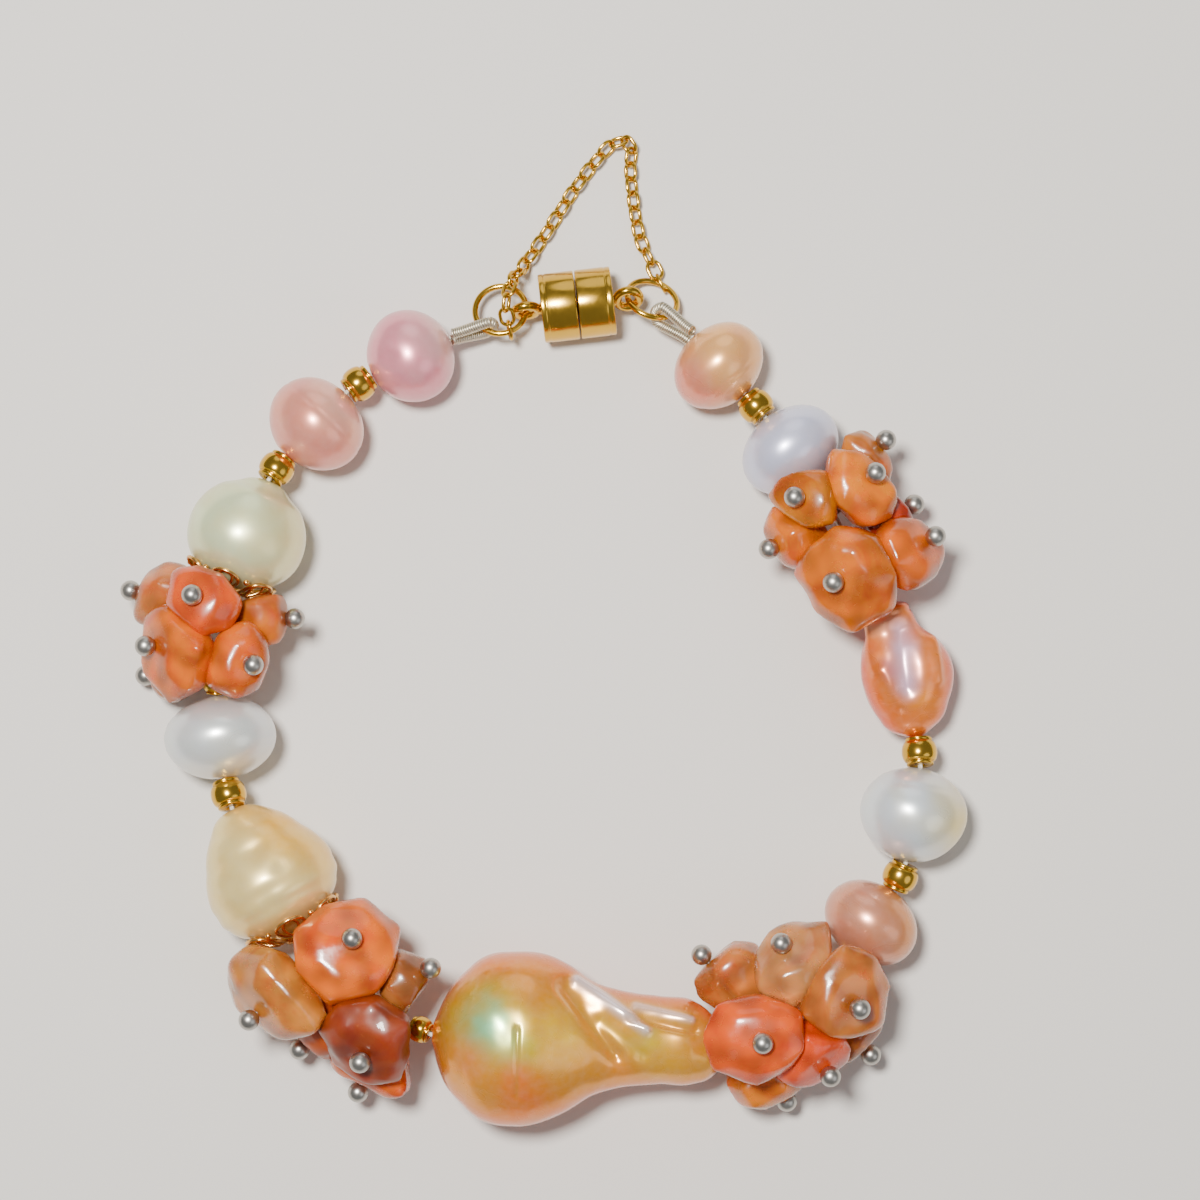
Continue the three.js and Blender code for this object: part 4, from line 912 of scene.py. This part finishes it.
def stone(name, tint, seed):
    obj = pebble(name)
    mesh = obj.data
    points, normals = vertex_rows(mesh, "co") / MM, vertex_rows(mesh, "normal")
    worn = ROUGH_WEAR if name in ROUGH_CHIPS else 1.0
    wear = waves(points, *FACETS, seed)
    wear += waves(points, *DENTS, seed + 3) * worn**DENT_POWER
    wear -= np.abs(waves(points, *CREASES, seed + 6)) * worn**CREASE_POWER
    points += normals * wear[:, None]
    mesh.vertices.foreach_set("co", (points * MM).ravel())
    mesh.shade_smooth()
    share = np.clip(0.5 + waves(points, *CLOUDS, seed + 11), 0, 1)[:, None]
    shade = DARK_SHARE + (LIGHT_SHARE - DARK_SHARE) * share
    paint(mesh, linear(tint) * shade, CHIP_RICHNESS)
    finish = solid_stone
    if name in CLEAR_CHIPS:
        finish = clear_stone
    if name in ROUGH_CHIPS:
        finish = rough_stone
    mesh.materials.clear()
    mesh.materials.append(finish)
    return obj


chips = [(f"chip_{k}{i + 1}", tint) for k, tints in CHIP_TINTS.items() for i, tint in enumerate(tints)]
for number, (name, tint) in enumerate(chips):
    finish_piece(stone(name, tint, FIRST_CHIP_SEED + number), "carnelian", name)
print("stones", len(chips))

# %% [markdown]
# Headpins. The ball of each pin is found as the sphere through the outermost corners of
# its solid. The pin runs from there through the drill hole to the thread, where it is bent
# into a loop and wrapped round itself, as a jeweller closes a dangle.

# %% Headpins
PIN_WIRE = 0.5
PIN_BALL = 1.8
PIN_LOOP = 2.3
# Corners this far beyond the loops belong to the pins' outer ends
LOOP_CLEAR = 0.5
# Corners nearer to each other than this, and at least this many, are one ball
BALL_SPACING = 0.45 * PIN_BALL
BALL_CORNERS = 12
# Corners nearest to a ball that make up the rim of a drill hole
RIM_CORNERS = 8
WRAPS = 2
WRAP_WIRE, WRAP_RADIUS, WRAP_PITCH, WRAP_START = 0.36, 0.42, 0.42, 0.25
LOOP_LEAN = 0.12
PIN_STEPS = 6


def cluster_line(letter):
    """Where a cluster's stretch of the thread starts, and its direction."""
    start, end = ends[f"cluster_{letter}"]
    return start, (end - start).normalized()


def ball_centres(letter):
    start, line = cluster_line(letter)
    points = corners(f"headpins_{letter}")
    along = np.array(line)
    offset = points - np.array(start)
    away = np.linalg.norm(offset - np.outer(offset @ along, along), axis=1)
    left = points[away > 0.5 * PIN_LOOP + LOOP_CLEAR]
    centres = []
    while len(left):
        near = np.zeros(len(left), bool)
        near[0] = True
        for _ in range(8):
            distance = np.linalg.norm(left[:, None] - left[near][None], axis=2).min(axis=1)
            near = near | (distance < BALL_SPACING)
        group, left = left[near], left[~near]
        if len(group) < BALL_CORNERS:
            continue
        matrix = np.column_stack([2 * group, np.ones(len(group))])
        fit = np.linalg.lstsq(matrix, (group**2).sum(axis=1), rcond=None)[0]
        centres.append(fit[:3])
    return centres


def pin_feet(letter, centres):
    """For each ball, the point of the thread that its pin hangs on."""
    start, line = cluster_line(letter)
    holes = [corners(f"chip_{letter}{i + 1}") for i in range(len(CHIP_TINTS[letter]))]
    feet = []
    for centre in centres:
        rims = []
        for hole in holes:
            away = np.linalg.norm(hole - centre, axis=1)
            order = np.argsort(away)[:RIM_CORNERS]
            rims.append((away[order].mean(), hole[order].mean(axis=0)))
        rim = min(rims, key=lambda item: item[0])[1]
        aim = Vector(rim - centre).normalized()
        gap = start - Vector(centre)
        slant = aim.dot(line)
        share = (slant * gap.dot(aim) - gap.dot(line)) / (1 - slant * slant)
        feet.append(start + line * share)
    return feet


def headpins(letter):
    node = f"headpins_{letter}"
    centres = ball_centres(letter)
    feet = pin_feet(letter, centres)
    line = cluster_line(letter)[1]
    spots = [Matrix.Translation(centre) for centre in centres]
    balls = set_out(node + "_balls", ball(0.5 * PIN_BALL, sides=28), spots, silver)
    loop_radius = 0.5 * (PIN_LOOP - PIN_WIRE)
    loops, wraps, pins = [], [], []
    for centre, foot in zip(centres, feet):
        aim = (Vector(centre) - foot).normalized()
        loops.append(aimed(foot, line + LOOP_LEAN * aim))
        for k in range(WRAPS):
            wraps.append(aimed(foot + aim * (loop_radius + WRAP_START + WRAP_PITCH * k), aim))
        inner = foot + aim * loop_radius
        steps = [inner.lerp(Vector(centre), k / PIN_STEPS) for k in range(PIN_STEPS + 1)]
        pins.append(swept([tuple(step) for step in steps], PIN_WIRE, sides=12, closed=False))
    loop = torus(loop_radius, PIN_WIRE, steps=28, sides=10)
    wrap = torus(WRAP_RADIUS, WRAP_WIRE, steps=18, sides=8)
    loop_part = set_out(node + "_loops", loop, loops, silver)
    wrap_part = set_out(node + "_wraps", wrap, wraps, silver)
    pin_part = piece(node + "_pins", *together(pins), silver)
    return joined(node + "_wire", [balls, loop_part, wrap_part, pin_part])


for letter in CHIP_TINTS:
    made = finish_piece(headpins(letter), "silver", f"headpins_{letter}")
    print(made.name, "corners", len(made.data.vertices))

# %% [markdown]
# Gimp is a fine coil of wire that guards the thread where it turns round a ring. Its route
# is the middle of the solid's loop, and the coil is set out ring by ring along it.

# %% Gimps
GIMP_DIAMETER = 1.0
GIMP_PITCH = 0.21
GIMP_WIRE = 0.2
GIMP_CORE = GIMP_DIAMETER - 0.28
GIMP_PLAY = 0.1
GIMP_START = 0.22
COIL_LEAN = 0.1
GIMP_BELLY_PLACE, GIMP_BELLY = 0.35, 1.05
GIMP_TURN = (80, 45, 0, -45, -80)
RING_DIAMETER = 5.1
RING_WIRE = 0.55
RINGS = ["jump_ring_left", "jump_ring_right"]
SPLINE_STEPS = 24


def ring_axis(node):
    """The middle of a ring and the direction square to it."""
    points = corners(node)
    middle = points.mean(axis=0)
    return Vector(middle), Vector(np.linalg.svd(points - middle)[2][2])


def smooth_path(points, step):
    """A spline through the points, with its corners at equal steps."""
    points = [Vector(p) for p in points]
    full = [2 * points[0] - points[1], *points, 2 * points[-1] - points[-2]]
    fine = []
    for a, b, c, d in zip(full, full[1:], full[2:], full[3:]):
        for t in np.arange(SPLINE_STEPS) / SPLINE_STEPS:
            fine.append(0.5 * ((2 * b) + (c - a) * t + (2 * a - 5 * b + 4 * c - d) * t**2
                               + (3 * b - a - 3 * c + d) * t**3))
    fine = np.array([*fine, points[-1]])
    run = np.concatenate([[0], np.cumsum(np.linalg.norm(np.diff(fine, axis=0), axis=1))])
    count = max(2, round(run[-1] / step))
    at = np.linspace(0, run[-1], count + 1)
    return np.stack([np.interp(at, run, fine[:, i]) for i in range(3)], axis=1)


def gimp(node, ring, thread_end):
    middle, normal = ring_axis(ring)
    points = corners(node)
    far = Vector(points[np.argmax(np.linalg.norm(points - np.array(thread_end), axis=1))])
    away = far - thread_end
    reach = away.length
    away.normalize()
    across = (normal - away * normal.dot(away)).normalized()
    legs = 0.5 * GIMP_DIAMETER + GIMP_PLAY
    bend = 0.5 * (RING_WIRE + GIMP_DIAMETER) + 2 * GIMP_PLAY
    turn_at = reach - bend - 0.5 * GIMP_DIAMETER

    def point(along, aside):
        return thread_end + away * along + across * aside

    belly = GIMP_BELLY_PLACE * turn_at
    route = [point(GIMP_START, legs), point(belly, GIMP_BELLY * legs)]
    for angle in GIMP_TURN:
        turn = math.radians(angle)
        route.append(point(turn_at + bend * math.cos(turn), bend * math.sin(turn)))
    route += [point(belly, -GIMP_BELLY * legs), point(GIMP_START, -legs)]
    path = smooth_path(route, GIMP_PITCH)
    ahead = np.gradient(path, axis=0)
    places = [aimed(p, Vector(a) + COIL_LEAN * UP) for p, a in zip(path, ahead)]
    turn_of_wire = torus(0.5 * (GIMP_DIAMETER - GIMP_WIRE), GIMP_WIRE, steps=20, sides=6)
    coil = set_out(node + "_coils", turn_of_wire, places, gimp_metal)
    core = piece(node + "_core", *swept(path, GIMP_CORE, sides=16, closed=False), gimp_metal)
    return joined(node + "_coil", [coil, core])


for side, thread_end in (("left", joints[0]), ("right", joints[-1])):
    node = f"gimp_{side}"
    finish_piece(gimp(node, f"jump_ring_{side}", thread_end), "gimp", node)

# %% [markdown]
# Rings and clasp. A jump ring is round wire, soldered shut. The magnetic clasp is a turned
# barrel in two halves with softened edges, a shallow step near each end and a soldered eye.

# %% Rings and clasp
CLASP_DIAMETER = 6.1
CLASP_LENGTH = 6.4
CLASP_SEAM = 0.12
SEAM_REACH = 0.1
EYE_RADIUS = 1.0
EYE_WIRE = 0.82
EYE_NECK = 0.35
# A corner's pair of points lies this far from it, or this share of a shorter side
CRISP_EDGE, CRISP_SHARE = 0.02, 0.3


def jump_ring(node):
    middle, normal = ring_axis(node)
    ring = torus(0.5 * (RING_DIAMETER - RING_WIRE), RING_WIRE, steps=72, sides=16)
    return piece(node + "_wire", *moved(aimed(middle, normal), ring), gold)


for name in RINGS:
    finish_piece(jump_ring(name), "gold", name)


def clasp_seam():
    """The level direction of the clasp, towards its left half, and the middle of its seam."""
    left, right = corners("clasp_left_half"), corners("clasp_right_half")
    along = (Vector(left.mean(axis=0)) - Vector(right.mean(axis=0))).normalized()
    along.z = 0
    along.normalize()
    axis = np.array(along)
    seam = 0.5 * ((left @ axis).min() + (right @ axis).max())
    near_left = left[left @ axis < seam + SEAM_REACH]
    near_right = right[right @ axis > seam - SEAM_REACH]
    middle = np.concatenate([near_left, near_right]).mean(axis=0)
    return along, Vector(middle + axis * (seam - middle @ axis))


clasp_axis, seam_middle = clasp_seam()


def crisp(outline):
    """The same outline with a close pair of points at each corner, so that edges stay sharp."""
    outline = np.asarray(outline, float)
    following = np.roll(outline, -1, axis=0)
    step = following - outline
    share = np.minimum(CRISP_EDGE / np.linalg.norm(step, axis=1), CRISP_SHARE)[:, None]
    pairs = np.stack([outline + share * step, following - share * step], axis=1)
    return pairs.reshape(-1, 2)


def clasp_half(node, side, ring):
    radius, end, seam = 0.5 * CLASP_DIAMETER, 0.5 * CLASP_LENGTH, 0.5 * CLASP_SEAM
    outline = [
        (0.02, seam), (radius - 0.10, seam), (radius - 0.03, seam + 0.03), (radius, seam + 0.10),
        (radius, end - 0.62), (radius - 0.05, end - 0.55), (radius - 0.05, end - 0.47),
        (radius - 0.02, end - 0.42), (radius - 0.02, end - 0.10), (radius - 0.06, end - 0.03),
        (radius - 0.14, end), (0.6, end), (0.45, end + 0.2), (0.36, end + 0.4), (0.02, end + 0.4),
    ]
    along = clasp_axis * side
    barrel = moved(aimed(seam_middle, along), turned(crisp(outline), sides=72))
    eye_middle = seam_middle + along * (end + EYE_NECK + EYE_RADIUS)
    normal = ring_axis(ring)[1]
    flat = (normal - along * normal.dot(along)).normalized()
    wire = torus(EYE_RADIUS, EYE_WIRE, steps=48, sides=16)
    eye = moved(aimed(eye_middle, along.cross(flat)), wire)
    return piece(node + "_turned", *together([barrel, eye]), gold)


for side, way in (("left", 1), ("right", -1)):
    node = f"clasp_{side}_half"
    finish_piece(clasp_half(node, way, f"jump_ring_{side}"), "gold", node)

# %% [markdown]
# The safety chain is a fine cable chain: oval links, each a quarter turn from the last. Its
# route is the same short list of points as the solid's, from ring wire to ring wire.

# %% Safety chain
LINK_WIRE = 0.34
LINK_WIDTH = 1.5
LINK_PITCH = 1.34
LINK_BITE = 0.07
HOOK_PLAY = 0.2
HOOK_LEAD = 1.2 * LINK_PITCH
# A lying link's angle to the table and the turn to the next link, in degrees. This many links
# at each end turn by and by from the way the ring holds them to the way they lie.
LYING, NEXT_LINK = 45, 90
TURNING_LINKS = 4
LINK_STEPS = 28
# Towards the left ring from the clasp's middle, outwards, and height
CHAIN_ROUTE = [
    (6.3, 0.3, 4.6), (5.7, 2.2, 4.4), (4.6, 3.9, 2.0), (3.2, 5.6, 0.9), (1.2, 8.0, 0.8),
    (-0.9, 10.6, 0.8), (-3.4, 13.2, 0.8), (-4.9, 14.4, 0.9), (-6.6, 14.3, 1.0), (-6.2, 12.4, 0.8),
    (-6.1, 9.0, 0.8), (-6.3, 5.6, 0.8),
]
# Where the end links hang, as directions from the middle of each ring
HOOKS = {"jump_ring_left": (0.37, -0.89, 0.28), "jump_ring_right": (0.38, 0.66, -0.64)}


def chain():
    inward = UP.cross(clasp_axis)
    route = []
    for ahead, outwards, height in CHAIN_ROUTE:
        place = seam_middle + clasp_axis * ahead - inward * outwards
        route.append(Vector((place.x, place.y, height)))
    wires, tangents = [], []
    for ring in RINGS:
        middle, normal = ring_axis(ring)
        toward = Vector(HOOKS[ring])
        toward = (toward - normal * toward.dot(normal)).normalized()
        wires.append(middle + toward * 0.5 * (RING_DIAMETER - RING_WIRE))
        tangents.append(normal.cross(toward))
    beyond = 0.5 * (RING_WIRE + LINK_BITE) + HOOK_PLAY

    def on_line(wire, following, by):
        return wire + (following - wire).normalized() * by

    first = [on_line(wires[0], route[0], by) for by in (-beyond, HOOK_LEAD)]
    last = [on_line(wires[1], route[-1], by) for by in (HOOK_LEAD, -beyond)]
    path = smooth_path([*first, *route, *last], LINK_PITCH)
    places = []
    count = len(path) - 1
    for i in range(count):
        start, end = Vector(path[i]), Vector(path[i + 1])
        ahead = (end - start).normalized()
        aside = UP.cross(ahead)
        if aside.length < 1e-3:
            aside = Vector((1, 0, 0))
        aside.normalize()
        lying = math.radians(LYING + NEXT_LINK * i)
        roll = lying
        for tangent, away, near in ((tangents[0], i, 0), (tangents[1], count - 1 - i, count - 1)):
            if away < TURNING_LINKS:
                width = tangent.cross(ahead)
                wanted = math.atan2(width.dot(aside), width.dot(ahead.cross(aside)))
                wanted += math.radians(NEXT_LINK * (i - near))
                wanted += math.pi * round((lying - wanted) / math.pi)
                roll += (wanted - lying) * (1 - away / TURNING_LINKS)
        places.append(seat(start, end) @ Matrix.Rotation(-roll, 4, "Z"))
    bend = 0.5 * (LINK_WIDTH - LINK_WIRE)
    straight = 0.5 * (LINK_PITCH + LINK_WIRE - LINK_BITE) - bend
    angle = full_turn(LINK_STEPS) + math.pi / LINK_STEPS
    oval = np.stack([0 * angle, bend * np.sin(angle),
                     bend * np.cos(angle) + np.sign(np.cos(angle)) * straight], axis=1)
    return set_out("safety_chain_links", swept(oval, LINK_WIRE, sides=8), places, gold), count


links, link_count = chain()
finish_piece(links, "gold", "safety_chain")
print("links", link_count)

# %% [markdown]
# The thread shows only between beads. It keeps its solid and gets a twisted pale finish.

# %% Thread
thread_material, thread_shader = new_material("thread", {"Roughness": 0.75, "Sheen Weight": 0.3})
thread_place = place_of(thread_shader)
strands = add_node(
    thread_shader, "ShaderNodeTexWave",
    {"Vector": thread_place, "Scale": 1400.0, "Distortion": 1.5, "Detail": 2.0},
    bands_direction="DIAGONAL",
)
twist = strands.outputs["Fac"]
feed(thread_shader, "Base Color", mixed(thread_shader, twist, rgba("cfc6b2"), rgba("efe9da")))
bump(thread_shader, twist, 0.4, 0.03 * MM)
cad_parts["stringing_thread"].material_slots[0].material = thread_material

# %% [markdown]
# The set: a pale floor, a soft light over the left shoulder, weaker ones to the right and
# behind, and the camera almost straight above, as the photograph was taken.

# %% Floor, lights and camera
FLOOR_HALF = 2500.0
VIEW_CENTRE = Vector((5.0, 1.75, 4.0)) * MM
VIEW_WIDTH = 105.3 * MM
ELEVATION = math.radians(87)
LENS = 90.0
SENSOR = 36.0
NEAR_AND_FAR = (0.01, 5.0)
LIGHTS = [
    dict(name="key_light", place=(-55, 45, 320), size=62, energy=1.80, color=(1.0, 0.97, 0.93)),
    dict(name="fill_light", place=(260, -140, 240), size=240, energy=0.16, color=(0.95, 0.97, 1.0)),
    dict(name="back_light", place=(20, 340, 160), size=240, energy=0.16, color=(1.0, 1.0, 1.0)),
]
SKY_COLOR, SKY_STRENGTH = (0.9, 0.92, 0.95, 1.0), 0.25
floor_material, _ = new_material("floor", {"Roughness": 0.9, "Base Color": rgba("e8e4de")})
floor_points = FLOOR_HALF * np.array([(-1, -1, 0), (1, -1, 0), (1, 1, 0), (-1, 1, 0)])
floor = piece("floor", floor_points, [(0, 1, 2, 3)], floor_material)


def area_light(name, place, size, energy, color):
    data = bpy.data.lights.new(name, "AREA")
    data.shape = "DISK"
    data.size = size * MM
    data.energy = energy
    data.color = color
    obj = in_scene(name, data)
    obj.location = Vector(place) * MM
    obj.rotation_euler = (VIEW_CENTRE - obj.location).to_track_quat("-Z", "Y").to_euler()


for row in LIGHTS:
    area_light(**row)

world = bpy.data.worlds.new("studio")
world.use_nodes = True
background = world.node_tree.nodes["Background"]
background.inputs["Color"].default_value = SKY_COLOR
background.inputs["Strength"].default_value = SKY_STRENGTH
bpy.context.scene.world = world

camera_data = bpy.data.cameras.new("camera")
camera_data.lens = LENS
camera_data.sensor_width = SENSOR
camera = in_scene("camera", camera_data)
back = Vector((0, -math.cos(ELEVATION), math.sin(ELEVATION)))
camera.location = VIEW_CENTRE + back * (VIEW_WIDTH * LENS / SENSOR)
camera.rotation_mode = "QUATERNION"
camera.rotation_quaternion = (-back).to_track_quat("-Z", "Y")
camera_data.clip_start, camera_data.clip_end = NEAR_AND_FAR
bpy.context.scene.camera = camera
